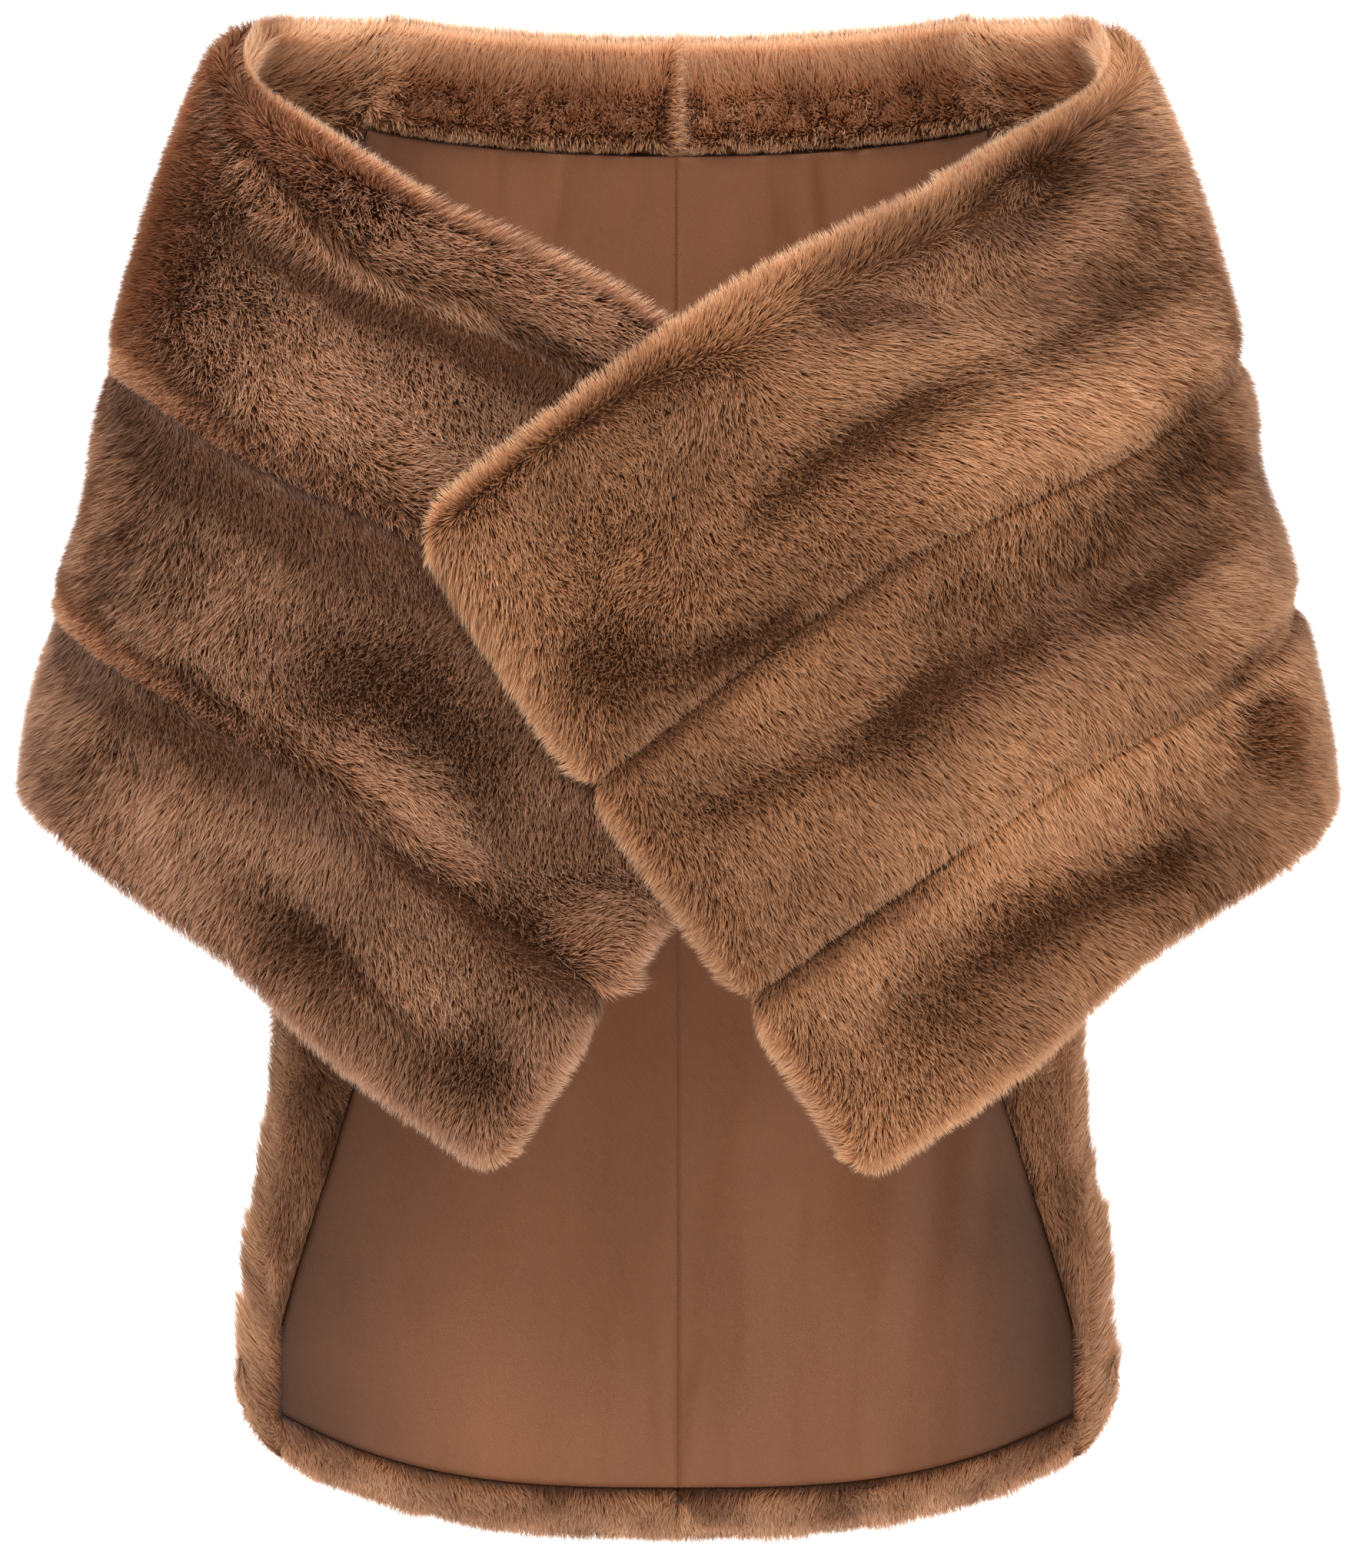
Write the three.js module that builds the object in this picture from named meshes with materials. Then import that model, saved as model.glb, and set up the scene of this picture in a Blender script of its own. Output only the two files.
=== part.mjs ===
// A fur collar wrap, in the hollow form that it has when worn. Two front bands, each of three
// joined fur strips, run from the back seams round the arms and cross at the front. The back panel
// hangs in a long tail. Fur facings and a satin lining show on its inside.
// Millimetres, +Z up. The front faces -Y and +X is the wearer's left. z = 0 is the level at which
// the wrap rests on the shoulders.
import * as THREE from "three";

const { clamp, degToRad, lerp, radToDeg, smoothstep } = THREE.MathUtils;

// Half-turn superellipse rings of the worn form, on the skin side of the fur, from the neck down.
const RING_POWER = 2.5;
const RINGS = [
  { z: 60, halfWidth: 178, front: 52, back: 80 },
  { z: 30, halfWidth: 189, front: 62, back: 85 },
  { z: 0, halfWidth: 205, front: 92, back: 92 },
  { z: -35, halfWidth: 219, front: 110, back: 99 },
  { z: -70, halfWidth: 231, front: 121, back: 104 },
  { z: -115, halfWidth: 243, front: 128, back: 108 },
  { z: -185, halfWidth: 259, front: 134, back: 112 },
  { z: -230, halfWidth: 269, front: 135, back: 113 },
  { z: -300, halfWidth: 284, front: 134, back: 113 },
  { z: -345, halfWidth: 288, front: 132, back: 112 },
  { z: -420, halfWidth: 280, front: 128, back: 110 },
  { z: -500, halfWidth: 262, front: 123, back: 107 },
  { z: -600, halfWidth: 246, front: 118, back: 103 },
  { z: -700, halfWidth: 240, front: 115, back: 100 },
];

// Stations along a band, evenly apart, from the back seam to the front end. A turn is in degrees
// round the form, from the centre front towards the band's own side. The right band's outer corner
// rides a little higher than the left one's.
const BAND_LENGTH = 520;
const RIGHT_HEM_RISE = 10;
const RIGHT_HEM_PLACE = 0.5;
const RIGHT_HEM_REACH = 0.11;
const BAND_WIDTH = 345;
const STATIONS = [
  { neckTurn: 138, neckZ: 38, hemTurn: 143, hemZ: -340 },
  { neckTurn: 90, neckZ: 27, hemTurn: 120, hemZ: -338 },
  { neckTurn: 49.5, neckZ: -17, hemTurn: 92, hemZ: -327 },
  { neckTurn: 26, neckZ: -61.5, hemTurn: 66.5, hemZ: -355 },
  { neckTurn: 6.2, neckZ: -101, hemTurn: 43.7, hemZ: -394 },
  { neckTurn: -10.7, neckZ: -151.5, hemTurn: 30.6, hemZ: -446 },
  { neckTurn: -25.2, neckZ: -206, hemTurn: 17, hemZ: -496 },
];

// The strips across a band, as shares of its width, with the radii of their front corners.
const STRIPS = [
  { name: "neck_strip", from: 0, to: 0.4, neckCorner: 22, hemCorner: 6 },
  { name: "middle_strip", from: 0.4, to: 0.72, neckCorner: 6, hemCorner: 7 },
  { name: "hem_strip", from: 0.72, to: 1, neckCorner: 7, hemCorner: 20 },
];

// Folds along a band: a line from (fromU, fromV) to (toU, toV) in shares of its length and width,
// how high it stands, less than 0 for a trough, and how far it reaches to each side.
const BAND_FOLDS = {
  left: [
    { fromU: 0.2, fromV: 0.05, toU: 0.74, toV: 0.095, height: -9, reach: 16 },
    { fromU: 0.7, fromV: 0.065, toU: 0.95, toV: 0.08, height: -4, reach: 13 },
    { fromU: 0.3, fromV: 0.245, toU: 0.66, toV: 0.11, height: -6, reach: 15 },
    { fromU: 0.4, fromV: 0.25, toU: 0.72, toV: 0.245, height: -4, reach: 13 },
    { fromU: 0.24, fromV: 0.355, toU: 0.68, toV: 0.34, height: 5, reach: 22 },
    { fromU: 0.4, fromV: 0.515, toU: 0.8, toV: 0.57, height: -4, reach: 17 },
    { fromU: 0.34, fromV: 0.79, toU: 0.92, toV: 0.77, height: 5, reach: 22 },
    { fromU: 0.08, fromV: 0.6, toU: 0.42, toV: 0.5, height: -5, reach: 24 },
  ],
  right: [
    { fromU: 0.22, fromV: 0.02, toU: 0.48, toV: 0.14, height: -7, reach: 14 },
    { fromU: 0.36, fromV: 0.13, toU: 0.72, toV: 0.145, height: -8, reach: 16 },
    { fromU: 0.54, fromV: 0.105, toU: 0.78, toV: 0.17, height: -5, reach: 13 },
    { fromU: 0.28, fromV: 0.09, toU: 0.54, toV: 0.08, height: 4, reach: 15 },
    { fromU: 0.24, fromV: 0.35, toU: 0.6, toV: 0.36, height: 5, reach: 20 },
    { fromU: 0.26, fromV: 0.44, toU: 0.66, toV: 0.46, height: -5, reach: 15 },
    { fromU: 0.3, fromV: 0.68, toU: 0.84, toV: 0.69, height: 4, reach: 18 },
    { fromU: 0.3, fromV: 0.77, toU: 0.9, toV: 0.78, height: -4, reach: 15 },
    { fromU: 0.66, fromV: 0.89, toU: 0.97, toV: 0.93, height: -4, reach: 13 },
    { fromU: 0.06, fromV: 0.5, toU: 0.38, toV: 0.62, height: -5, reach: 24 },
  ],
};

// The left band lies over the right one, so its skin side stands out by the right band's fur
// where they cross, within fullTurn of the centre front, and no more beyond endTurn.
const LIFT = 17.5;
const LIFT_FULL_TURN = 27;
const LIFT_END_TURN = 57;
const COVER_FULL_TURN = 31;
const COVER_END_TURN = 44;

// The back panel: its neck edge, centre length and the half widths of its tail, which hangs free
// below the bands. The lining and the side facing's outer edge are narrower than the tail.
const BACK_NECK = 30.5;
const BACK_NECK_RISE = 7.5;
const BACK_HEM = -675;
const HEM_CORNER_RISE = 75;
const HEM_CORNER_POWER = 2.2;
const TAIL_TOP = -340;
const TAIL = [
  { z: -340, side: 185, facing: 184, lining: 176 },
  { z: -385, side: 188.5, facing: 187.5, lining: 152 },
  { z: -430, side: 191, facing: 190, lining: 145 },
  { z: -485, side: 195, facing: 193, lining: 159 },
  { z: -530, side: 203, facing: 198.5, lining: 173 },
  { z: -570, side: 205.5, facing: 197, lining: 184.5 },
  { z: -608, side: 206, facing: 195, lining: 193 },
  { z: -700, side: 206, facing: 205, lining: 204 },
];
const LINING_SEAM_MARGIN = 4;
const LINING_HEM = -650;
const LINING_HEM_RISE = 42;
const LINING_HEM_HALF = 193;
const FACING_TOP = -400;
const FACING_BOTTOM = -606;

// Folds down the back panel and down the lining, by x and z of their two ends.
const BACK_FOLDS = [
  { fromX: -112, fromZ: -40, toX: -88, toZ: -400, height: -5, reach: 26 },
  { fromX: -60, fromZ: -330, toX: -42, toZ: -640, height: 4.5, reach: 24 },
  { fromX: 62, fromZ: -130, toX: 84, toZ: -560, height: 5, reach: 25 },
  { fromX: 108, fromZ: -20, toX: 128, toZ: -330, height: -4, reach: 24 },
  { fromX: 30, fromZ: -20, toX: 12, toZ: -210, height: -4, reach: 20 },
  { fromX: 138, fromZ: -330, toX: 150, toZ: -640, height: -5, reach: 20 },
];
const LINING_FOLDS = [
  { fromX: -118, fromZ: -60, toX: -100, toZ: -420, height: 4, reach: 15 },
  { fromX: -66, fromZ: -260, toX: -78, toZ: -640, height: 4, reach: 14 },
  { fromX: 48, fromZ: -60, toX: 60, toZ: -380, height: 4, reach: 15 },
  { fromX: 96, fromZ: -320, toX: 104, toZ: -640, height: 4.5, reach: 14 },
  { fromX: 28, fromZ: -420, toX: 38, toZ: -650, height: 3, reach: 11 },
];

// Fur, facings and cloth: how far they stand out, and how they end at seams and free edges.
const PILE = 15;
const FACING_PILE = 11;
const SIDE_FACING_PILE = 9;
const SEAM_DIP = 5;
const SEAM_REACH = 7;
const EDGE_ROUND = 14;
const FACING_ROUND = 9;
const SKIN = 1.2;
const SATIN = 1;
const SEAM_GAP = 0.4;
const FACING_GAP = 0.4;
const PIECE_GAP = 0.6;
const LINING_GAP = 0.9;
const FACING_DEPTH = 54;
const FACING_SHARE = 0.5;

// Where the grids' lines lie, in millimetres from an edge, and their spacing between.
const NECK_LINES = [0, 3, 9, 18, 36, FACING_DEPTH];
const FREE_LINES = [0, 3, 9, 18];
const SEAM_LINES = [0, 8];
const PLAIN_LINES = [0];
const BAND_SPACING = 19;
const ACROSS_SPACING = 18;
const BACK_SPACING = 23;
const LINING_SPACING = 21;

const FUR_COLOUR = 0x8a5a3a;
const SATIN_COLOUR = 0x7a503c;

// Smooth value of a column at a height, in a table whose rows run down.
function atHeight(rows, z, column) {
  const below = rows.findIndex((row) => row.z < z);
  const i = clamp(below < 0 ? rows.length - 1 : below, 1, rows.length - 1);
  const slope = (k) => {
    const a = rows[Math.max(k - 1, 0)];
    const b = rows[Math.min(k + 1, rows.length - 1)];
    return (b[column] - a[column]) / (b.z - a.z);
  };
  const [from, to] = [rows[i - 1], rows[i]];
  const step = to.z - from.z;
  const t = clamp((z - from.z) / step, 0, 1);
  const rise = t * t * (3 - 2 * t);
  return (
    lerp(from[column], to[column], rise) +
    step * slope(i - 1) * t * (1 - t) ** 2 -
    step * slope(i) * t * t * (1 - t)
  );
}

// Smooth value of a column along a table of evenly spaced rows, for a share from 0 to 1.
function along(rows, share, column) {
  const last = rows.length - 1;
  const place = clamp(share, 0, 1) * last;
  const i = Math.min(Math.floor(place), last - 1);
  const t = place - i;
  const value = (k) => rows[k][column];
  const p1 = value(i);
  const p2 = value(i + 1);
  const p0 = i > 0 ? value(i - 1) : 2 * p1 - p2;
  const p3 = i + 2 <= last ? value(i + 2) : 2 * p2 - p1;
  const a = 2 * p0 - 5 * p1 + 4 * p2 - p3;
  const b = -p0 + 3 * p1 - 3 * p2 + p3;
  return (2 * p1 + (p2 - p0) * t + a * t * t + b * t ** 3) / 2;
}

// Point on the form at a turn in radians and a height.
function onForm(turn, z) {
  const sin = Math.sin(turn);
  const cos = Math.cos(turn);
  const depth = atHeight(RINGS, z, cos > 0 ? "front" : "back");
  const ring = (Math.abs(sin) ** RING_POWER + Math.abs(cos) ** RING_POWER) ** (-1 / RING_POWER);
  return new THREE.Vector3(
    atHeight(RINGS, z, "halfWidth") * ring * sin,
    -depth * ring * cos,
    z,
  );
}

// Point that stands out from the form by a height along its normal, on one side of the body.
const NORMAL_STEP = 1e-3;
function standingOut(side, { turn, z }, height) {
  const round = onForm(turn + NORMAL_STEP, z).sub(onForm(turn - NORMAL_STEP, z));
  const up = onForm(turn, z + 1).sub(onForm(turn, z - 1));
  const point = onForm(turn, z).addScaledVector(round.cross(up).normalize(), height);
  point.x *= side;
  return point;
}

// Place on the back of the form at an x, not below 0, and a height.
function onBack(x, z) {
  const share = Math.min(x / atHeight(RINGS, z, "halfWidth"), 1);
  const rest = (1 - share ** RING_POWER) ** (1 / RING_POWER);
  return { turn: Math.PI - Math.atan2(share, rest), z };
}

// Fractions of a length, at the given distances from its two ends and evenly apart between.
function gridLines(length, startLines, endLines, spacing) {
  const start = startLines.map((d) => d / length);
  const end = endLines.map((d) => 1 - d / length).reverse();
  const from = start.at(-1);
  const count = Math.ceil(((end[0] - from) * length) / spacing);
  const middle = Array.from({ length: count - 1 }, (_, i) =>
    lerp(from, end[0], (i + 1) / count),
  );
  return [...start, ...middle, ...end];
}

// A closed wall over a grid: place(u, v) is where it lies on the form, and low and high are how
// far its inner and outer faces stand out there.
function wall(side, us, vs, place, low, high) {
  const rows = us.length;
  const columns = vs.length;
  const faces = [low, high].map((height) =>
    us.flatMap((u) => vs.map((v) => standingOut(side, place(u, v), height(u, v)))),
  );
  const at = (face, i, j) => face * rows * columns + i * columns + j;
  const index = [];
  const quad = (a, b, c, d) => index.push(a, b, c, a, c, d);
  for (let i = 0; i + 1 < rows; i++) {
    for (let j = 0; j + 1 < columns; j++) {
      quad(at(1, i, j), at(1, i + 1, j), at(1, i + 1, j + 1), at(1, i, j + 1));
      quad(at(0, i, j), at(0, i, j + 1), at(0, i + 1, j + 1), at(0, i + 1, j));
    }
  }
  const rim = [];
  for (let i = 0; i < rows; i++) rim.push([i, 0]);
  for (let j = 1; j < columns; j++) rim.push([rows - 1, j]);
  for (let i = rows - 2; i >= 0; i--) rim.push([i, columns - 1]);
  for (let j = columns - 2; j > 0; j--) rim.push([0, j]);
  rim.forEach(([i, j], k) => {
    const [p, q] = rim[(k + 1) % rim.length];
    quad(at(0, i, j), at(0, p, q), at(1, p, q), at(1, i, j));
  });
  const points = faces.flat();
  const volume = (a, b, c) => points[a].dot(points[b].clone().cross(points[c]));
  let enclosed = 0;
  for (let k = 0; k < index.length; k += 3) enclosed += volume(...index.slice(k, k + 3));
  if (enclosed < 0) index.reverse();
  const geometry = new THREE.BufferGeometry().setFromPoints(points);
  geometry.setIndex(index);
  geometry.computeVertexNormals();
  return geometry;
}

// Share of its full height that fur has at a distance from a free edge, which it rounds off.
function roundEdge(distance, reach) {
  return Math.sqrt(1 - (1 - clamp(distance / reach, 0, 1)) ** 2);
}

// How far fur stands out, at its distances from seams, where it dips, and from free edges.
function furHeight(pile, seams, edges, reach = EDGE_ROUND) {
  const nearest = Math.min(...seams);
  const full = pile - SEAM_DIP * Math.exp(-((nearest / SEAM_REACH) ** 2));
  const round = edges.reduce((share, distance) => share * roundEdge(distance, reach), 1);
  return SKIN + (full - SKIN) * round;
}

// A fold's height: tapered to nothing at both ends and rounded to both sides of its line.
const FOLD_TAPER = 0.3;
function foldHeight(height, share, across, reach) {
  if (share <= 0 || share >= 1) return 0;
  const taper = smoothstep(share, 0, FOLD_TAPER) * smoothstep(1 - share, 0, FOLD_TAPER);
  return height * taper * Math.exp(-((across / reach) ** 2));
}

function bandFolds(hand, u, v) {
  return BAND_FOLDS[hand].reduce((sum, fold) => {
    const share = (u - fold.fromU) / (fold.toU - fold.fromU);
    const across = (v - lerp(fold.fromV, fold.toV, share)) * BAND_WIDTH;
    return sum + foldHeight(fold.height, share, across, fold.reach);
  }, 0);
}

function downFolds(folds, x, z) {
  return folds.reduce((sum, fold) => {
    const share = (z - fold.fromZ) / (fold.toZ - fold.fromZ);
    const across = x - lerp(fold.fromX, fold.toX, share);
    return sum + foldHeight(fold.height, share, across, fold.reach);
  }, 0);
}

// Front bands

function bandPlace(hand, u, v) {
  const across = (neck, hem) => lerp(along(STATIONS, u, neck), along(STATIONS, u, hem), v);
  const rise = RIGHT_HEM_RISE * Math.exp(-(((u - RIGHT_HEM_PLACE) / RIGHT_HEM_REACH) ** 2));
  return {
    turn: degToRad(across("neckTurn", "hemTurn")),
    z: across("neckZ", "hemZ") + (hand === "right" ? rise * v ** 2 : 0),
  };
}

// Height of a band's skin side, and what its folds take from or add to the fur instead. A trough
// over the crossing is in the fur alone, and the covered band has no ridge there.
function bandSkin(hand, u, v) {
  const turn = radToDeg(bandPlace(hand, u, v).turn);
  const fold = bandFolds(hand, u, v);
  const cover = 1 - smoothstep(turn, COVER_FULL_TURN, COVER_END_TURN);
  if (hand === "right") {
    return { skin: fold > 0 ? fold * (1 - cover) : fold, pile: 0 };
  }
  const lift = LIFT * (1 - smoothstep(turn, LIFT_FULL_TURN, LIFT_END_TURN));
  const pile = Math.min(fold, 0) * cover;
  return { skin: lift + fold - pile, pile };
}

// How far a corner of the given radius narrows a strip at a distance from its end.
function cornerInset(radius, distance) {
  if (distance >= radius) return 0;
  return radius - Math.sqrt(radius ** 2 - (radius - distance) ** 2);
}

function bandStrip(side, hand, strip) {
  const onNeck = strip.from === 0;
  const onHem = strip.to === 1;
  const width = (strip.to - strip.from) * BAND_WIDTH;
  const gap = SEAM_GAP / 2;
  const us = gridLines(BAND_LENGTH, [gap, SEAM_LINES[1]], FREE_LINES, BAND_SPACING);
  const vs = gridLines(
    width,
    onNeck ? NECK_LINES : SEAM_LINES,
    onHem ? FREE_LINES : SEAM_LINES,
    ACROSS_SPACING,
  );
  const edges = (u) => {
    const toEnd = (1 - u) * BAND_LENGTH;
    const start = (onNeck ? 0 : gap) + cornerInset(strip.neckCorner, toEnd);
    const end = width - (onHem ? 0 : gap) - cornerInset(strip.hemCorner, toEnd);
    return { toEnd, start, end };
  };
  const across = (u, t) => {
    const { start, end } = edges(u);
    return strip.from + lerp(start, end, t) / BAND_WIDTH;
  };
  const pile = (u, t) => {
    const { toEnd, start, end } = edges(u);
    const fromStart = (end - start) * t;
    const fromEnd = (end - start) * (1 - t);
    const seams = [u * BAND_LENGTH, onNeck ? width : fromStart, onHem ? width : fromEnd];
    const free = [toEnd, onNeck ? fromStart : width, onHem ? fromEnd : width];
    return furHeight(PILE, seams, free) + bandSkin(hand, u, across(u, t)).pile;
  };
  const skin = (u, t) => bandSkin(hand, u, across(u, t)).skin;
  return wall(
    side,
    us,
    vs,
    (u, t) => bandPlace(hand, u, across(u, t)),
    skin,
    (u, t) => skin(u, t) + Math.max(pile(u, t), SKIN),
  );
}

// The facing inside a band's neck edge, on the neck strip's own grid lines.
function bandFacing(side, hand) {
  const strip = STRIPS[0];
  const width = strip.to * BAND_WIDTH - SEAM_GAP / 2;
  const us = gridLines(BAND_LENGTH, [SEAM_GAP / 2, SEAM_LINES[1]], FREE_LINES, BAND_SPACING);
  const shown = us.filter((u) => u <= FACING_SHARE);
  const end = shown.at(-1);
  const vs = NECK_LINES.map((d) => ((d / (strip.to * BAND_WIDTH)) * width) / BAND_WIDTH);
  const high = (u, v) => bandSkin(hand, u, v).skin - FACING_GAP;
  const thick = (u, v) =>
    furHeight(
      FACING_PILE,
      [u * BAND_LENGTH],
      [v * BAND_WIDTH, (vs.at(-1) - v) * BAND_WIDTH, (end - u) * BAND_LENGTH],
      FACING_ROUND,
    );
  const place = (u, v) => bandPlace(hand, u, v);
  return wall(side, shown, vs, place, (u, v) => high(u, v) - thick(u, v), high);
}

// Back panel

const BACK_SEAM_TOP = BACK_NECK + BACK_NECK_RISE;

// Half width of the back panel: the bands' back seam, then the tail.
function backSide(z) {
  if (z < TAIL_TOP) return atHeight(TAIL, z, "side");
  const down = (BACK_SEAM_TOP - z) / (BACK_SEAM_TOP - TAIL_TOP);
  const turn = lerp(STATIONS[0].neckTurn, STATIONS[0].hemTurn, Math.max(down, 0));
  return onForm(degToRad(turn), z).x;
}

// Height of the panel's point at shares of its half width and length.
function backHeight(u, v) {
  const top = BACK_NECK + BACK_NECK_RISE * u ** 2;
  const hem = BACK_HEM + HEM_CORNER_RISE * (1 - Math.sqrt(1 - u ** HEM_CORNER_POWER));
  return lerp(top, hem, v);
}

function backX(u, z) {
  return lerp(SEAM_GAP / 2, backSide(z) - SEAM_GAP / 2, u);
}

function backPlace(u, v) {
  const z = backHeight(u, v);
  return onBack(backX(u, z), z);
}

const BACK_HALF = 195;
const BACK_LENGTH = BACK_NECK - BACK_HEM;
const backUs = gridLines(BACK_HALF, SEAM_LINES, FREE_LINES, ACROSS_SPACING);
const backVs = gridLines(BACK_LENGTH, NECK_LINES, FREE_LINES, BACK_SPACING);

function backSkin(side, u, v) {
  const z = backHeight(u, v);
  return downFolds(BACK_FOLDS, side * backX(u, z), z) * sideFade(u);
}

// Folds of the back panel fade out at its side seams, so that they meet the bands.
function sideFade(u) {
  return 1 - smoothstep(u, 0.8, 0.97);
}

function backHalf(side) {
  const free = (z) => 1 - smoothstep(z, TAIL_TOP - 30, TAIL_TOP);
  const pile = (u, v) => {
    const z = backHeight(u, v);
    const toSide = (1 - u) * BACK_HALF;
    const tail = free(z);
    const seams = [u * BACK_HALF, toSide + tail * BACK_HALF];
    const fur = furHeight(PILE, seams, [v * BACK_LENGTH, (1 - v) * BACK_LENGTH]);
    return SKIN + (fur - SKIN) * lerp(1, roundEdge(toSide, EDGE_ROUND), tail);
  };
  const low = (u, v) => backSkin(side, u, v);
  return wall(side, backUs, backVs, backPlace, low, (u, v) => low(u, v) + pile(u, v));
}

// The back neck facing, on the panel's own grid lines.
function backFacing(side) {
  const vs = backVs.slice(0, NECK_LINES.length);
  const high = (u, v) => backSkin(side, u, v) - FACING_GAP;
  const thick = (u, v) =>
    furHeight(
      FACING_PILE,
      [u * BACK_HALF, (1 - u) * BACK_HALF],
      [v * BACK_LENGTH, (vs.at(-1) - v) * BACK_LENGTH],
      FACING_ROUND,
    );
  return wall(side, backUs, vs, backPlace, (u, v) => high(u, v) - thick(u, v), high);
}

// A piece on the inside of the back panel: its place from an x and z, and the panel's skin there.
function skinAt(side, x, z) {
  return downFolds(BACK_FOLDS, side * x, z) * sideFade(x / backSide(z));
}

// Edge of the lining towards the side seams and the tail's facings.
function liningSide(z) {
  if (z >= TAIL_TOP) return backSide(z) - LINING_SEAM_MARGIN - 5 * smoothstep(-z, 300, 340);
  return atHeight(TAIL, z, "lining");
}

function liningHem(x) {
  return LINING_HEM + LINING_HEM_RISE * Math.abs(x / LINING_HEM_HALF) ** 3;
}

// Lower edge of the back neck facing.
const FACING_FOOT = -20;
function facingFoot(x) {
  return backHeight(x / backSide(FACING_FOOT), backVs[NECK_LINES.length - 1]);
}

// Height at which a lengthwise line of the lining, at a share of its half width, meets an edge.
function liningMeets(share, edge) {
  let z = edge(0);
  for (let k = 0; k < 4; k++) z = edge(share * liningSide(z));
  return z;
}

// Satin hangs a little off the panel, in folds of its own that stand inward.
function liningHalf(side) {
  const spot = (u, v) => {
    const z = lerp(liningMeets(u, facingFoot) - PIECE_GAP, liningMeets(u, liningHem), v);
    return { x: lerp(SEAM_GAP / 2, liningSide(z), u), z };
  };
  const high = (u, v) => {
    const { x, z } = spot(u, v);
    const fold = downFolds(LINING_FOLDS, side * x, z);
    return skinAt(side, x, z) - LINING_GAP - fold;
  };
  const place = (u, v) => {
    const { x, z } = spot(u, v);
    return onBack(x, z);
  };
  const us = gridLines(LINING_HEM_HALF, PLAIN_LINES, PLAIN_LINES, ACROSS_SPACING);
  const vs = gridLines(-LINING_HEM, PLAIN_LINES, PLAIN_LINES, LINING_SPACING);
  return wall(side, us, vs, place, (u, v) => high(u, v) - SATIN, high);
}

// Fur turned in along the tail's side, between the lining and the tail's edge.
function tailFacing(side) {
  const length = FACING_TOP - FACING_BOTTOM;
  const spot = (u, v) => {
    const z = lerp(FACING_TOP, FACING_BOTTOM, v);
    const from = liningSide(z) + PIECE_GAP;
    return { x: lerp(from, atHeight(TAIL, z, "facing"), u), z, from };
  };
  const high = (u, v) => {
    const { x, z } = spot(u, v);
    return skinAt(side, x, z) - LINING_GAP;
  };
  const thick = (u, v) => {
    const { x, z, from } = spot(u, v);
    const edges = [x - from, atHeight(TAIL, z, "facing") - x, (1 - v) * length];
    return furHeight(SIDE_FACING_PILE, [length], edges, FACING_ROUND);
  };
  const place = (u, v) => {
    const { x, z } = spot(u, v);
    return onBack(x, z);
  };
  const us = [0, 0.12, 0.35, 0.65, 0.88, 1];
  const vs = gridLines(length, PLAIN_LINES, [0, 6], BACK_SPACING);
  return wall(side, us, vs, place, (u, v) => high(u, v) - thick(u, v), high);
}

// Fur turned in along the tail's hem, below the lining.
function hemFacing(side) {
  const half = LINING_HEM_HALF;
  const spot = (u, v) => {
    const x = lerp(SEAM_GAP / 2, half, u);
    const share = x / atHeight(TAIL, BACK_HEM, "side");
    const bottom = backHeight(share, 1) + SKIN;
    const top = liningHem(x) - PIECE_GAP;
    return { x, z: lerp(top, bottom, v), top, bottom };
  };
  const high = (u, v) => {
    const { x, z } = spot(u, v);
    return skinAt(side, x, z) - LINING_GAP;
  };
  const thick = (u, v) => {
    const { x, z, top, bottom } = spot(u, v);
    const edges = [top - z, z - bottom, half - x];
    return furHeight(SIDE_FACING_PILE, [x], edges, FACING_ROUND);
  };
  const place = (u, v) => {
    const { x, z } = spot(u, v);
    return onBack(x, z);
  };
  const us = gridLines(half, SEAM_LINES, [0, 4, 10], ACROSS_SPACING);
  const vs = [0, 0.14, 0.4, 0.68, 0.9, 1];
  return wall(side, us, vs, place, (u, v) => high(u, v) - thick(u, v), high);
}

// Assembly

function furMaterial() {
  return new THREE.MeshStandardMaterial({ color: FUR_COLOUR, roughness: 0.95, metalness: 0 });
}

function satinMaterial() {
  return new THREE.MeshStandardMaterial({ color: SATIN_COLOUR, roughness: 0.38, metalness: 0 });
}

const wrap = new THREE.Group();

function add(name, geometry, material) {
  const mesh = new THREE.Mesh(geometry, material);
  mesh.name = name;
  wrap.add(mesh);
}

for (const [hand, side] of [["left", 1], ["right", -1]]) {
  for (const strip of STRIPS) {
    add(`${hand}_${strip.name}`, bandStrip(side, hand, strip), furMaterial());
  }
  add(`${hand}_neck_facing`, bandFacing(side, hand), furMaterial());
  add(`back_${hand}`, backHalf(side), furMaterial());
  add(`back_neck_facing_${hand}`, backFacing(side), furMaterial());
  add(`lining_${hand}`, liningHalf(side), satinMaterial());
  add(`tail_facing_${hand}`, tailFacing(side), furMaterial());
  add(`hem_facing_${hand}`, hemFacing(side), furMaterial());
}

export default wrap;
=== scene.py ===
"""Fur collar wrap: sheared fur strips crossed over an open neck, and a long tail lined with satin.

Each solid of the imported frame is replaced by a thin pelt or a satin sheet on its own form, and each
pelt carries its hair as a mesh of tapered blades. Sizes are in millimetres until a mesh is made.
"""

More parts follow.
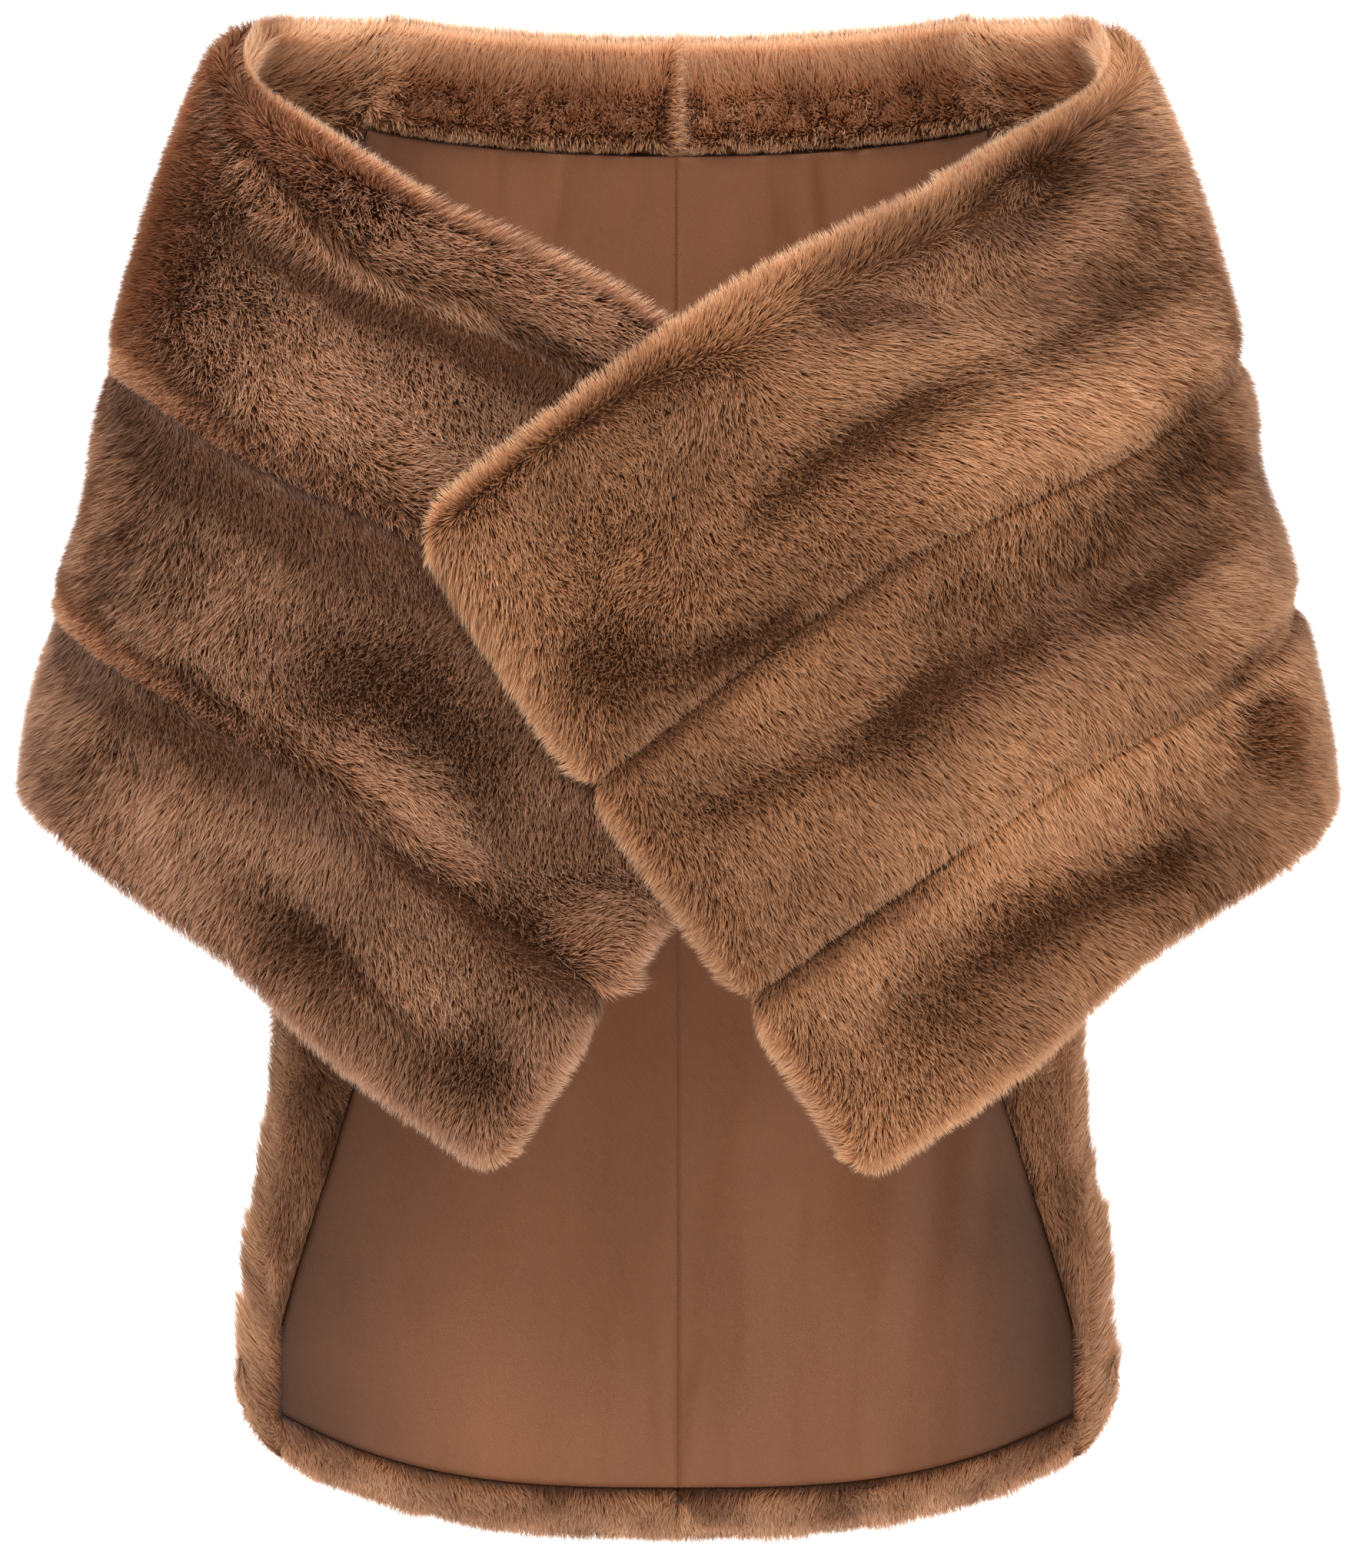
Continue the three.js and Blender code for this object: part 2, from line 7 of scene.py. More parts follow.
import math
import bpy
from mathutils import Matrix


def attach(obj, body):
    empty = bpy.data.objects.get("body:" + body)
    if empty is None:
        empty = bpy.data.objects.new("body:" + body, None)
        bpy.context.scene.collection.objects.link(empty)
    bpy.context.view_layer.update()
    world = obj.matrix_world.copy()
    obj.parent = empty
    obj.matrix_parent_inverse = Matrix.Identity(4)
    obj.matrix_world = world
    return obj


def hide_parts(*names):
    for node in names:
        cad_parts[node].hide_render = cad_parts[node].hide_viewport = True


bl_info = {
    "name": "Fur collar wrap",
    "version": (1, 0, 0),
    "blender": (4, 5, 0),
    "location": "3D View > Sidebar > Wrap",
    "description": "Builds a worn fur collar wrap with its satin lining",
    "category": "Add Mesh",
}

import bmesh
import bpy
import numpy as np
from bpy.props import FloatProperty, FloatVectorProperty, IntProperty, PointerProperty

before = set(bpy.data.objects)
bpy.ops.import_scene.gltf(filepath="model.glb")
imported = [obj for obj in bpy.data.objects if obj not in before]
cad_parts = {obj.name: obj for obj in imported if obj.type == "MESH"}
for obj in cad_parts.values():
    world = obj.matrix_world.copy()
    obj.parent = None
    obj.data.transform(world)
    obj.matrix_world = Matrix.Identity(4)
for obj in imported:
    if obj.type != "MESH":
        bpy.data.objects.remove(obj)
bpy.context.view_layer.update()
MM = 0.001
HANDS = (("left", 1), ("right", -1))

# The worn form: rings of height, half width, front depth and back depth, from the neck down.
RING_POWER = 2.5
RINGS = np.array([
    (60, 178, 52, 80),
    (30, 189, 62, 85),
    (0, 205, 92, 92),
    (-35, 219, 110, 99),
    (-70, 231, 121, 104),
    (-115, 243, 128, 108),
    (-185, 259, 134, 112),
    (-230, 269, 135, 113),
    (-300, 284, 134, 113),
    (-345, 288, 132, 112),
    (-420, 280, 128, 110),
    (-500, 262, 123, 107),
    (-600, 246, 118, 103),
    (-700, 240, 115, 100),
], float)
HALF_WIDTH, FRONT, BACK = 1, 2, 3

# Stations along a front band, from the back seam to the front end: turn from the centre front in
# degrees and height, at the neck edge and at the hem.
STATIONS = np.array([
    (138, 38, 143, -340),
    (90, 27, 120, -338),
    (49.5, -17, 92, -327),
    (26, -61.5, 66.5, -355),
    (6.2, -101, 43.7, -394),
    (-10.7, -151.5, 30.6, -446),
    (-25.2, -206, 17, -496),
], float)
NECK_TURN, NECK_Z, HEM_TURN, HEM_Z = range(4)
BAND_LENGTH = 520
BAND_WIDTH = 345
RIGHT_HEM_RISE, RIGHT_HEM_PLACE, RIGHT_HEM_REACH = 10, 0.5, 0.11

# Strips of a band: name, from and to as shares of its width, and the radii of their two corners.
STRIPS = (
    ("neck_strip", 0, 0.4, 22, 6),
    ("middle_strip", 0.4, 0.72, 6, 7),
    ("hem_strip", 0.72, 1, 7, 20),
)

# Folds along a band: from (u, v) to (u, v) in shares, height and reach. A trough is below 0.
BAND_FOLDS = {
    "left": (
        (0.2, 0.05, 0.74, 0.095, -9, 16),
        (0.7, 0.065, 0.95, 0.08, -4, 13),
        (0.3, 0.245, 0.66, 0.11, -6, 15),
        (0.4, 0.25, 0.72, 0.245, -4, 13),
        (0.24, 0.355, 0.68, 0.34, 5, 22),
        (0.4, 0.515, 0.8, 0.57, -4, 17),
        (0.34, 0.79, 0.92, 0.77, 5, 22),
        (0.08, 0.6, 0.42, 0.5, -5, 24),
    ),
    "right": (
        (0.22, 0.02, 0.48, 0.14, -7, 14),
        (0.36, 0.13, 0.72, 0.145, -8, 16),
        (0.54, 0.105, 0.78, 0.17, -5, 13),
        (0.28, 0.09, 0.54, 0.08, 4, 15),
        (0.24, 0.35, 0.6, 0.36, 5, 20),
        (0.26, 0.44, 0.66, 0.46, -5, 15),
        (0.3, 0.68, 0.84, 0.69, 4, 18),
        (0.3, 0.77, 0.9, 0.78, -4, 15),
        (0.66, 0.89, 0.97, 0.93, -4, 13),
        (0.06, 0.5, 0.38, 0.62, -5, 24),
    ),
}
# How the hair lies on a band, read as a furrier would comb it: place (u, v), reach along and across
# in mm, the way it points in degrees from the front end towards the hem, how flat it lies, and how
# much paler or darker it is, partly the hair's own tone and partly painted sheen and shade.
BAND_NAP = {
    "left": (
        (0.735, 0.017, 21, 14, -153, 0.8, 0.2),
        (0.69, 0.05, 24, 10, -161, 0.9, 0.2),
        (0.542, 0.042, 49, 12, -134, 0.9, 0.08),
        (0.427, 0.058, 18, 10, 23, 0.8, 0.15),
        (0.512, 0.104, 28, 10, 57, 0.8, 0.25),
        (0.76, 0.138, 28, 21, 47, 0.8, -0.01),
        (0.628, 0.171, 38, 12, 119, 0.9, 0.12),
        (0.492, 0.333, 52, 19, 114, 0.95, 0.3),
        (0.583, 0.346, 31, 14, 104, 0.95, 0.25),
        (0.422, 0.45, 21, 28, 42, 0.7, -0.12),
        (0.59, 0.442, 31, 18, 47, 0.9, 0.05),
        (0.66, 0.487, 18, 21, 62, 0.6, -0.03),
        (0.578, 0.604, 42, 21, 97, 0.8, 0.03),
        (0.58, 0.708, 42, 24, 74, 1, 0.32),
        (0.69, 0.721, 42, 18, 68, 1, 0.3),
        (0.795, 0.717, 28, 16, 68, 0.9, 0.25),
        (0.8, 0.425, 42, 21, 89, 0.7, 0),
        (0.85, 0.237, 21, 18, -16, 0.8, 0.25),
        (0.92, 0.292, 18, 18, -7, 0.15, -0.07),
        (0.863, 0.421, 31, 18, 84, 0.7, 0.05),
        (0.758, 0.562, 21, 14, 88, 0.1, -0.1),
        (0.85, 0.567, 31, 18, 95, 0.6, 0),
        (0.72, 0.662, 31, 18, 94, 0.8, 0),
        (0.64, 0.871, 21, 14, 65, 0.3, -0.12),
        (0.503, 0.796, 18, 21, -4, 0.4, -0.1),
        (0.77, 0.825, 31, 16, 74, 0.3, -0.06),
        (0.94, 0.92, 24, 20, 55, 0.5, 0.26),
        (0.917, 0.762, 21, 16, 82, 0.9, 0.15),
        (0.868, 0.854, 18, 14, 65, 0.3, -0.16),
        (0.912, 0.604, 38, 18, 80, 0.75, -0.01),
        (0.765, 0.246, 38, 18, 87, 0.6, 0),
        (0.708, 0.35, 38, 18, 96, 0.5, 0),
    ),
    "right": (
        (0.268, 0.167, 31, 28, -16, 0.9, 0.05),
        (0.38, 0.267, 38, 28, -6, 0.95, 0.12),
        (0.515, 0.296, 42, 28, 9, 1, 0.25),
        (0.618, 0.325, 24, 18, -40, 0.9, 0.15),
        (0.603, 0.212, 24, 21, 31, 0.7, -0.12),
        (0.497, 0.05, 38, 10, 22, 0.9, 0.1),
        (0.62, 0.054, 38, 16, 3, 0.9, 0.12),
        (0.44, 0.113, 21, 10, 63, 0.8, 0.3),
        (0.557, 0.113, 24, 8, 39, 0.8, 0.2),
        (0.49, 0.404, 52, 19, 37, 0.75, -0.28),
        (0.453, 0.492, 24, 21, 24, 0.9, 0.05),
        (0.532, 0.554, 28, 21, 18, 0.9, 0.15),
        (0.555, 0.575, 18, 18, 63, 0.8, 0.1),
        (0.628, 0.475, 24, 21, 48, 0.8, -0.15),
        (0.693, 0.575, 31, 26, 27, 0.12, -0.22),
        (0.782, 0.592, 28, 21, 31, 0.15, -0.15),
        (0.743, 0.683, 35, 18, -19, 1, 0.28),
        (0.805, 0.692, 28, 14, -12, 1, 0.22),
        (0.858, 0.596, 21, 21, 48, 0.6, -0.15),
        (0.9, 0.721, 24, 18, 10, 0.25, 0),
        (0.945, 0.658, 18, 21, -71, 0.8, 0.15),
        (0.468, 0.792, 21, 21, 76, 0.9, 0.08),
        (0.545, 0.804, 21, 18, 31, 0.9, 0.02),
        (0.588, 0.725, 21, 14, 17, 0.5, -0.1),
        (0.598, 0.858, 21, 18, 69, 0.9, 0.15),
        (0.65, 0.912, 21, 14, 80, 0.9, 0.1),
        (0.71, 0.792, 21, 14, 64, 0.9, 0.12),
        (0.758, 0.904, 28, 18, 68, 0.12, -0.25),
        (0.812, 0.812, 21, 14, 8, 0.6, 0),
        (0.873, 0.85, 21, 16, 26, 0.7, 0.15),
        (0.938, 0.883, 21, 19, 55, 0.1, -0.2),
        (0.36, 0.07, 26, 12, 14, 0.9, 0.12),
        (0.48, 0.086, 40, 11, 12, 0.95, 0.2),
        (0.61, 0.086, 40, 11, 8, 0.95, 0.15),
        (0.2, 0.12, 36, 44, 14, 0.85, 0.22),
        (0.2, 0.52, 36, 44, 20, 0.85, 0.16),
    ),
}
# Lines of painted shade and painted highlight along a band: shade in its creases, below its seams and
# under the left band's edge, highlight along its roll and ridges. Each runs from (u, v) to (u, v),
# with its reach in mm, how much paler, and how far the hair stands up there.
BAND_SHADES = {
    "left": (
        (0.545, 0.142, 0.647, 0.087, 9, -0.35, 0.5),
        (0.413, 0.113, 0.515, 0.067, 9, -0.3, 0.4),
        (0.52, 0.235, 0.8, 0.265, 10, -0.28, 0.75),
        (0.3, 0.244, 0.58, 0.233, 9, -0.2, 0.5),
        (0.26, 0.378, 0.62, 0.38, 6, -0.12, 0.1),
        (0.58, 0.558, 0.82, 0.546, 10, -0.28, 0.75),
        (0.38, 0.55, 0.64, 0.558, 10, -0.22, 0.6),
        (0.58, 0.404, 1.08, 0.402, 4, -0.4, 0.5),
        (0.3, 0.42, 0.62, 0.42, 14, -0.1, 0.2),
        (0.72, 0.723, 1.08, 0.722, 5, -0.45, 0.5),
        (0.3, 0.7, 0.8, 0.7, 5, -0.3, 0.2),
        (0.74, 0.396, 0.93, 0.329, 9, -0.15, 0.7),
        (0.74, 0.567, 0.98, 0.483, 9, -0.12, 0.6),
        (0.6, 0.888, 0.87, 0.829, 12, -0.24, 0.6),
        (0.65, 0.1, 0.9, 0.029, 7, -0.08, 0.2),
    ),
    "right": (
        (0.16, 0.062, 0.94, 0.055, 17, 0.55, 0),
        (0.29, 0.168, 0.72, 0.155, 7, -0.6, 0.1),
        (0.56, 0.113, 0.78, 0.117, 8, -0.28, 0.2),
        (0.2, 0.428, 0.8, 0.44, 13, -0.42, 0.1),
        (0.2, 0.384, 0.86, 0.386, 5, 0.34, 0),
        (0.2, 0.75, 0.84, 0.75, 9, -0.22, 0.1),
        (0.2, 0.706, 0.84, 0.708, 4, 0.26, 0),
        (0.7, 0.727, 1.08, 0.724, 6, -0.45, 0.5),
        (0.7, 0.408, 1.0, 0.467, 22, -0.25, 0.2),
        (0.55, 0.362, 0.82, 0.404, 10, -0.12, 0),
    ),
}
# Creases where the fur parts sharply: from (u, v) to (u, v), the share of its depth that the fur
# loses there, and reach in mm.
BAND_CREASES = {
    "left": (
        (0.32, 0.056, 0.62, 0.078, 0.3, 6),
        (0.74, 0.06, 0.88, 0.076, 0.35, 5),
        (0.38, 0.222, 0.56, 0.158, 0.35, 6),
        (0.42, 0.392, 0.66, 0.43, 0.3, 6),
        (0.5, 0.53, 0.8, 0.565, 0.3, 6),
        (0.7, 0.724, 1.08, 0.724, 0.4, 5),
        (0.7, 0.405, 1.08, 0.402, 0.4, 5),
    ),
    "right": (
        (0.3, 0.062, 0.5, 0.158, 0.5, 6),
        (0.4, 0.142, 0.74, 0.128, 0.62, 6),
        (0.54, 0.105, 0.78, 0.18, 0.35, 6),
        (0.26, 0.412, 0.72, 0.418, 0.5, 6),
        (0.3, 0.732, 0.8, 0.738, 0.4, 6),
        (0.72, 0.885, 0.9, 0.925, 0.35, 6),
    ),
}
FOLD_TAPER = 0.3
# The left band is lifted over the right one, out to these turns in degrees, and the right one's
# hair is kept a little way under its edges.
LIFT, LIFT_FULL_TURN, LIFT_END_TURN = 17.5, 27, 57
COVER_FULL_TURN, COVER_END_TURN = 31, 44
UNDER_TURN, UNDER_EDGE = 5, 18

# The back panel and its tail: height, half width, and where the side facing and the lining end.
BACK_NECK, BACK_NECK_RISE, BACK_HEM = 30.5, 7.5, -675
BACK_LENGTH = BACK_NECK - BACK_HEM
BACK_HALF = 195
HEM_CORNER_RISE, HEM_CORNER_POWER = 75, 2.2
TAIL_TOP = -340
TAIL = np.array([
    (-340, 185, 184, 176),
    (-385, 188.5, 187.5, 152),
    (-430, 191, 190, 145),
    (-485, 195, 193, 159),
    (-530, 203, 198.5, 173),
    (-570, 205.5, 197, 184.5),
    (-608, 206, 195, 193),
    (-700, 206, 205, 204),
], float)
TAIL_SIDE, TAIL_FACING, TAIL_LINING = 1, 2, 3
SIDE_FADE_START, SIDE_FADE_END = 0.8, 0.97
LINING_SEAM_MARGIN = 4
LINING_STEP, LINING_STEP_TOP = 5, -300
LINING_HEM, LINING_HEM_RISE, LINING_HEM_HALF = -650, 42, 193
FACING_TOP, FACING_BOTTOM, FACING_FOOT = -400, -606, -20

# Folds down the panel and the lining: from (x, z) to (x, z), height and reach.
BACK_FOLDS = (
    (-112, -40, -88, -400, -5, 26),
    (-60, -330, -42, -640, 4.5, 24),
    (62, -130, 84, -560, 5, 25),
    (108, -20, 128, -330, -4, 24),
    (30, -20, 12, -210, -4, 20),
    (138, -330, 150, -640, -5, 20),
)
LINING_FOLDS = (
    (-118, -60, -100, -420, 4, 15),
    (-66, -260, -78, -640, 4, 14),
    (48, -60, 60, -380, 4, 15),
    (96, -320, 104, -640, 4.5, 14),
    (28, -420, 38, -650, 3, 11),
)
# Finer creases of the satin: gathers below the neck facing and puckers above the hem.
LINING_CREASES = (
    (34, 2, 46, -66, 1.6, 4),
    (58, 2, 66, -84, 2.2, 5),
    (70, 2, 86, -70, 1.8, 4),
    (84, 2, 96, -54, 1.4, 4),
    (-52, 2, -60, -72, 1.6, 5),
    (-88, 2, -84, -60, 1.3, 4),
    (-20, 2, -16, -58, 1.2, 4),
    (-10, -560, -5, -655, 1.4, 4),
    (9, -590, 5, -656, 1.6, 4),
    (22, -604, 30, -656, 1.2, 4),
    (-34, -600, -26, -655, 1.2, 5),
    (84, -600, 92, -652, 1.1, 5),
    (-108, -590, -116, -650, 1.1, 5),
    (-150, -430, -128, -610, 1.8, 9),
    (146, -430, 120, -610, 1.8, 9),
)

# Fur, facings and cloth: how far they stand out, and how they end.
PILE, FACING_PILE, SIDE_FACING_PILE = 15, 11, 9
SEAM_DIP, SEAM_REACH = 5, 7
EDGE_ROUND, FACING_ROUND = 14, 9
EDGE_SHOWN, EDGE_PILE = 19, 7
SKIN, SATIN = 1.2, 1
SEAM_GAP, FACING_GAP, PIECE_GAP, LINING_GAP = 0.4, 0.4, 0.6, 0.9
FACING_DEPTH, FACING_LENGTH = 54, 255


def smooth(x, low, high):
    """Smooth step from 0 at low to 1 at high."""
    t = np.clip((x - low) / (high - low), 0, 1)
    return t * t * (3 - 2 * t)


def at_height(rows, z, column):
    """Smooth value of a column at heights in mm, in a table whose rows run down."""
    heights, values = rows[:, 0], rows[:, column]
    last = len(rows) - 1
    z = np.asarray(z, float)
    i = np.clip(np.searchsorted(-heights, -z, side="right"), 1, last)
    upper = np.maximum(np.arange(last + 1) - 1, 0)
    lower = np.minimum(np.arange(last + 1) + 1, last)
    slopes = (values[lower] - values[upper]) / (heights[lower] - heights[upper])
    step = heights[i] - heights[i - 1]
    t = np.clip((z - heights[i - 1]) / step, 0, 1)
    bend = slopes[i - 1] * t * (1 - t) ** 2 - slopes[i] * t * t * (1 - t)
    return values[i - 1] + (values[i] - values[i - 1]) * smooth(t, 0, 1) + step * bend


def along(share, column):
    """Smooth value of a column of the stations, at shares of a band's length."""
    values = STATIONS[:, column]
    ends = (2 * values[0] - values[1], 2 * values[-1] - values[-2])
    values = np.concatenate((ends[:1], values, ends[1:]))
    last = len(STATIONS) - 1
    place = np.clip(share, 0, 1) * last
    i = np.minimum(place.astype(int), last - 1)
    t = place - i
    p0, p1, p2, p3 = (values[i + k] for k in range(4))
    a = 2 * p0 - 5 * p1 + 4 * p2 - p3
    b = -p0 + 3 * p1 - 3 * p2 + p3
    return (2 * p1 + (p2 - p0) * t + a * t * t + b * t**3) / 2


def on_form(turn, z):
    """Points of the worn form at turns in radians and heights."""
    sine, cosine = np.sin(turn), np.cos(turn)
    depth = np.where(cosine > 0, at_height(RINGS, z, FRONT), at_height(RINGS, z, BACK))
    powers = np.abs(sine) ** RING_POWER + np.abs(cosine) ** RING_POWER
    ring = powers ** (-1 / RING_POWER)
    x = at_height(RINGS, z, HALF_WIDTH) * ring * sine
    return np.stack((x, -depth * ring * cosine, z + 0 * turn), axis=-1)


def unit(vectors):
    return vectors / np.maximum(np.linalg.norm(vectors, axis=-1, keepdims=True), 1e-9)


def standing_out(side, turn, z, height):
    """Points that stand out from the form by heights along its normal, on one side of the body."""
    step = 1e-3
    round_it = on_form(turn + step, z) - on_form(turn - step, z)
    up = on_form(turn, z + 1) - on_form(turn, z - 1)
    points = on_form(turn, z) + unit(np.cross(round_it, up)) * np.asarray(height)[..., None]
    return points * (side, 1, 1)


def on_back(x, z):
    """Turns and heights of points on the back of the form, at x not below 0."""
    share = np.minimum(x / at_height(RINGS, z, HALF_WIDTH), 1)
    rest = (1 - share**RING_POWER) ** (1 / RING_POWER)
    return np.pi - np.arctan2(share, rest), z


def round_edge(distance, reach):
    """Share of its full height that fur has at distances from a free edge."""
    return np.sqrt(1 - (1 - np.clip(distance / reach, 0, 1)) ** 2)


def fur_height(pile, seams, edges, reach=EDGE_ROUND):
    """How far fur stands out, at its distances from seams, where it dips, and free edges."""
    nearest = np.minimum.reduce(np.broadcast_arrays(*seams))
    full = pile - SEAM_DIP * near(nearest, SEAM_REACH)
    for distance in edges:
        full = SKIN + (full - SKIN) * round_edge(distance, reach)
    return full


def soft_line(line, a, b, reach, scale=1):
    """1 along a line from (a, b) to (a, b), and 0 past its ends and its reach to both sides."""
    from_a, from_b, to_a, to_b = line
    share = (a - from_a) / (to_a - from_a)
    across = (b - from_b - (to_b - from_b) * share) * scale
    taper = smooth(share, 0, FOLD_TAPER) * smooth(1 - share, 0, FOLD_TAPER)
    return taper * np.exp(-((across / reach) ** 2))


def band_folds(hand, u, v):
    total = 0 * u
    for *line, height, reach in BAND_FOLDS[hand]:
        total = total + height * soft_line(line, u, v, reach, BAND_WIDTH)
    return total


def band_crease(hand, u, v):
    """Share of its depth that a band's fur keeps at its creases."""
    kept = 1 + 0 * u
    for *line, lost, reach in BAND_CREASES[hand]:
        kept = kept * (1 - lost * soft_line(line, u, v, reach, BAND_WIDTH))
    return kept


def down_folds(folds, x, z):
    total = 0 * x
    for from_x, from_z, to_x, to_z, height, reach in folds:
        total = total + height * soft_line((from_z, from_x, to_z, to_x), z, x, reach)
    return total


def band_place(hand, u, v):
    """Turn in radians and height of places on a band, by shares of its length and width."""
    turn = along(u, NECK_TURN) * (1 - v) + along(u, HEM_TURN) * v
    z = along(u, NECK_Z) * (1 - v) + along(u, HEM_Z) * v
    if hand == "right":
        reach = (u - RIGHT_HEM_PLACE) / RIGHT_HEM_REACH
        z = z + RIGHT_HEM_RISE * np.exp(-(reach**2)) * v**2
    return np.radians(turn), z


def band_skin(hand, u, v):
    """Height of a band's skin side, and what its folds take from the fur instead."""
    turn = np.degrees(band_place(hand, u, v)[0])
    fold = band_folds(hand, u, v)
    cover = 1 - smooth(turn, COVER_FULL_TURN, COVER_END_TURN)
    if hand == "right":
        return np.where(fold > 0, fold * (1 - cover), fold), 0 * u
    lift = LIFT * (1 - smooth(turn, LIFT_FULL_TURN, LIFT_END_TURN))
    pile = np.minimum(fold, 0) * cover
    return lift + fold - pile, pile


def corner_inset(radius, distance):
    """How far a corner narrows a strip at distances from its end."""
    depth = np.clip(radius - distance, 0, radius)
    return radius - np.sqrt(radius**2 - depth**2)


def back_side(z):
    """Half width of the back panel: the bands' back seam, then the tail."""
    top = BACK_NECK + BACK_NECK_RISE
    down = np.maximum((top - z) / (top - TAIL_TOP), 0)
    turn = STATIONS[0, NECK_TURN] + (STATIONS[0, HEM_TURN] - STATIONS[0, NECK_TURN]) * down
    seam = on_form(np.radians(turn), z)[..., 0]
    return np.where(z < TAIL_TOP, at_height(TAIL, z, TAIL_SIDE), seam)


def back_height(u, v):
    top = BACK_NECK + BACK_NECK_RISE * u**2
    hem = BACK_HEM + HEM_CORNER_RISE * (1 - np.sqrt(1 - u**HEM_CORNER_POWER))
    return top + (hem - top) * v


def back_x(u, z):
    return (back_side(z) - SEAM_GAP / 2) * u


def side_fade(u):
    return 1 - smooth(u, SIDE_FADE_START, SIDE_FADE_END)


def skin_at(side, x, z):
    """Height of the back panel's skin side at an x, not below 0, and z."""
    return down_folds(BACK_FOLDS, side * x, z) * side_fade(x / back_side(z))


def lining_side(z):
    """Edge of the lining towards the side seams and the tail's facings."""
    step = LINING_STEP * smooth(-z, -LINING_STEP_TOP, -TAIL_TOP)
    seam = back_side(z) - LINING_SEAM_MARGIN - step
    return np.where(z >= TAIL_TOP, seam, at_height(TAIL, z, TAIL_LINING))


def lining_hem(x):
    return LINING_HEM + LINING_HEM_RISE * np.abs(x / LINING_HEM_HALF) ** 3


def facing_foot(x):
    """Lower edge of the back neck facing."""
    side = back_side(np.float64(FACING_FOOT))
    return back_height(x / side, FACING_DEPTH / BACK_LENGTH)


def lining_meets(share, edge):
    """Height at which a lengthwise line of the lining meets an edge."""
    z = edge(0 * share)
    for _ in range(4):
        z = edge(share * lining_side(z))
    return z


class Pelt:
    """A fur piece over a unit square, with u along it and t across it.

    place gives turns and heights, skin the height of its skin side, pile how far its fur stands
    out, core the nearest place inside its rounded free edges, and nap how its hair lies and how
    high it stands. cut is the width and length that it was cut to and the share of that rectangle
    that it fills, which nothing uses; fur names its shades, and overhang is how far hair may pass its
    edges.
    """

    fur = "back"
    overhang = 4

    def __init__(self, node, side, size, cut, place, skin, pile, core, nap, inward=False):
        self.node = node
        self.side = side
        self.length, self.width = size
        self.cut = cut
        self.place = place
        self.skin = skin
        self.pile = pile
        self.core = core
        self.nap = nap
        self.out = -1 if inward else 1

    def levels(self, u, t):
        """Points of the skin, of the core under each place, and of the fur's crest."""
        turn, z = self.place(u, t)
        skin = self.skin(u, t)
        flat = standing_out(self.side, turn, z, skin)
        crest = standing_out(self.side, turn, z, skin + self.out * self.pile(u, t))
        core_u, core_t = self.core(u, t)
        core_turn, core_z = self.place(core_u, core_t)
        core = standing_out(self.side, core_turn, core_z, self.skin(core_u, core_t))
        return flat, core, crest


class Field:
    """Values on an even lattice over the unit square, read between its points."""

    def __init__(self, values):
        self.values = values

    def at(self, u, t):
        last_u, last_t = (n - 1 for n in self.values.shape[:2])
        i = np.clip((u * last_u).astype(int), 0, last_u - 1)
        j = np.clip((t * last_t).astype(int), 0, last_t - 1)
        a = (u * last_u - i)[..., None]
        b = (t * last_t - j)[..., None]
        low = self.values[i, j] * (1 - b) + self.values[i, j + 1] * b
        high = self.values[i + 1, j] * (1 - b) + self.values[i + 1, j + 1] * b
        return low * (1 - a) + high * a


LATTICE = 64
LATTICE_MARGIN = 8


def drift(seed, x, y, cell):
    """Smooth noise from -1 to 1 at places in mm, that changes over about one cell."""
    lattice = np.random.default_rng(seed).uniform(-1, 1, (LATTICE, LATTICE))
    x, y = x / cell + LATTICE_MARGIN, y / cell + LATTICE_MARGIN
    i, j = np.floor(x).astype(int), np.floor(y).astype(int)
    a, b = smooth(x - i, 0, 1), smooth(y - j, 0, 1)
    i, j = i % (LATTICE - 1), j % (LATTICE - 1)
    low = lattice[i, j] * (1 - b) + lattice[i, j + 1] * b
    high = lattice[i + 1, j] * (1 - b) + lattice[i + 1, j + 1] * b
    return low * (1 - a) + high * a


def drifts(seed, x, y, waves, step=1):
    """Noises of several strengths and cells in mm, each from a seed of its own."""
    return [
        strength * drift(seed + k * step, x, y, cell) for k, (strength, cell) in enumerate(waves)
    ]


def near(distance, reach):
    """1 at an edge or place, falling to 0 past its reach."""
    return np.exp(-((distance / reach) ** 2))


def turned(flow, angle):
    """Flow vectors (along, across) turned by angles in radians."""
    sine, cosine = np.sin(angle), np.cos(angle)
    return (
        flow[0] * cosine - flow[1] * sine,
        flow[0] * sine + flow[1] * cosine,
    )


# Front bands

NECK_ROLL = 34
HAIR_LEAN = 9.5
NAP_SPREAD = 1.25
FURROW = 0.8
LOWEST_FUR = 0.76
TUFT = 6

# The way that a band's hair lies, in degrees from the front end, and how flat. Its drifts are those
# of its swirl, its finer swirl, its lean, its shade and its finer shade: strength and cell in mm.
BAND_WAY = {"left": 12, "right": -22}
BAND_LEAN = 0.74
BAND_DRIFTS = ((0.6, 80), (0.35, 30), (0.26, 50), (0.14, 60), (0.12, 20))
BAND_RUFFLE, BAND_RUFFLE_CELL = 0.22, 12
# Base tone of a band's hair, and the painted light of its folds per mm of fold height: darker in
# troughs, paler on ridges.
BAND_TONE, FOLD_PAINTED_LIGHT = 0.56, 0.04

# Free edges of a band: their reach in mm, and how much paler their hair is.
END_REACH, END_PALER = 19, 0.25
NECK_EDGE_REACH = {"left": 13, "right": 6}
NECK_EDGE_PALER = {"left": 0.24, "right": 0.1}

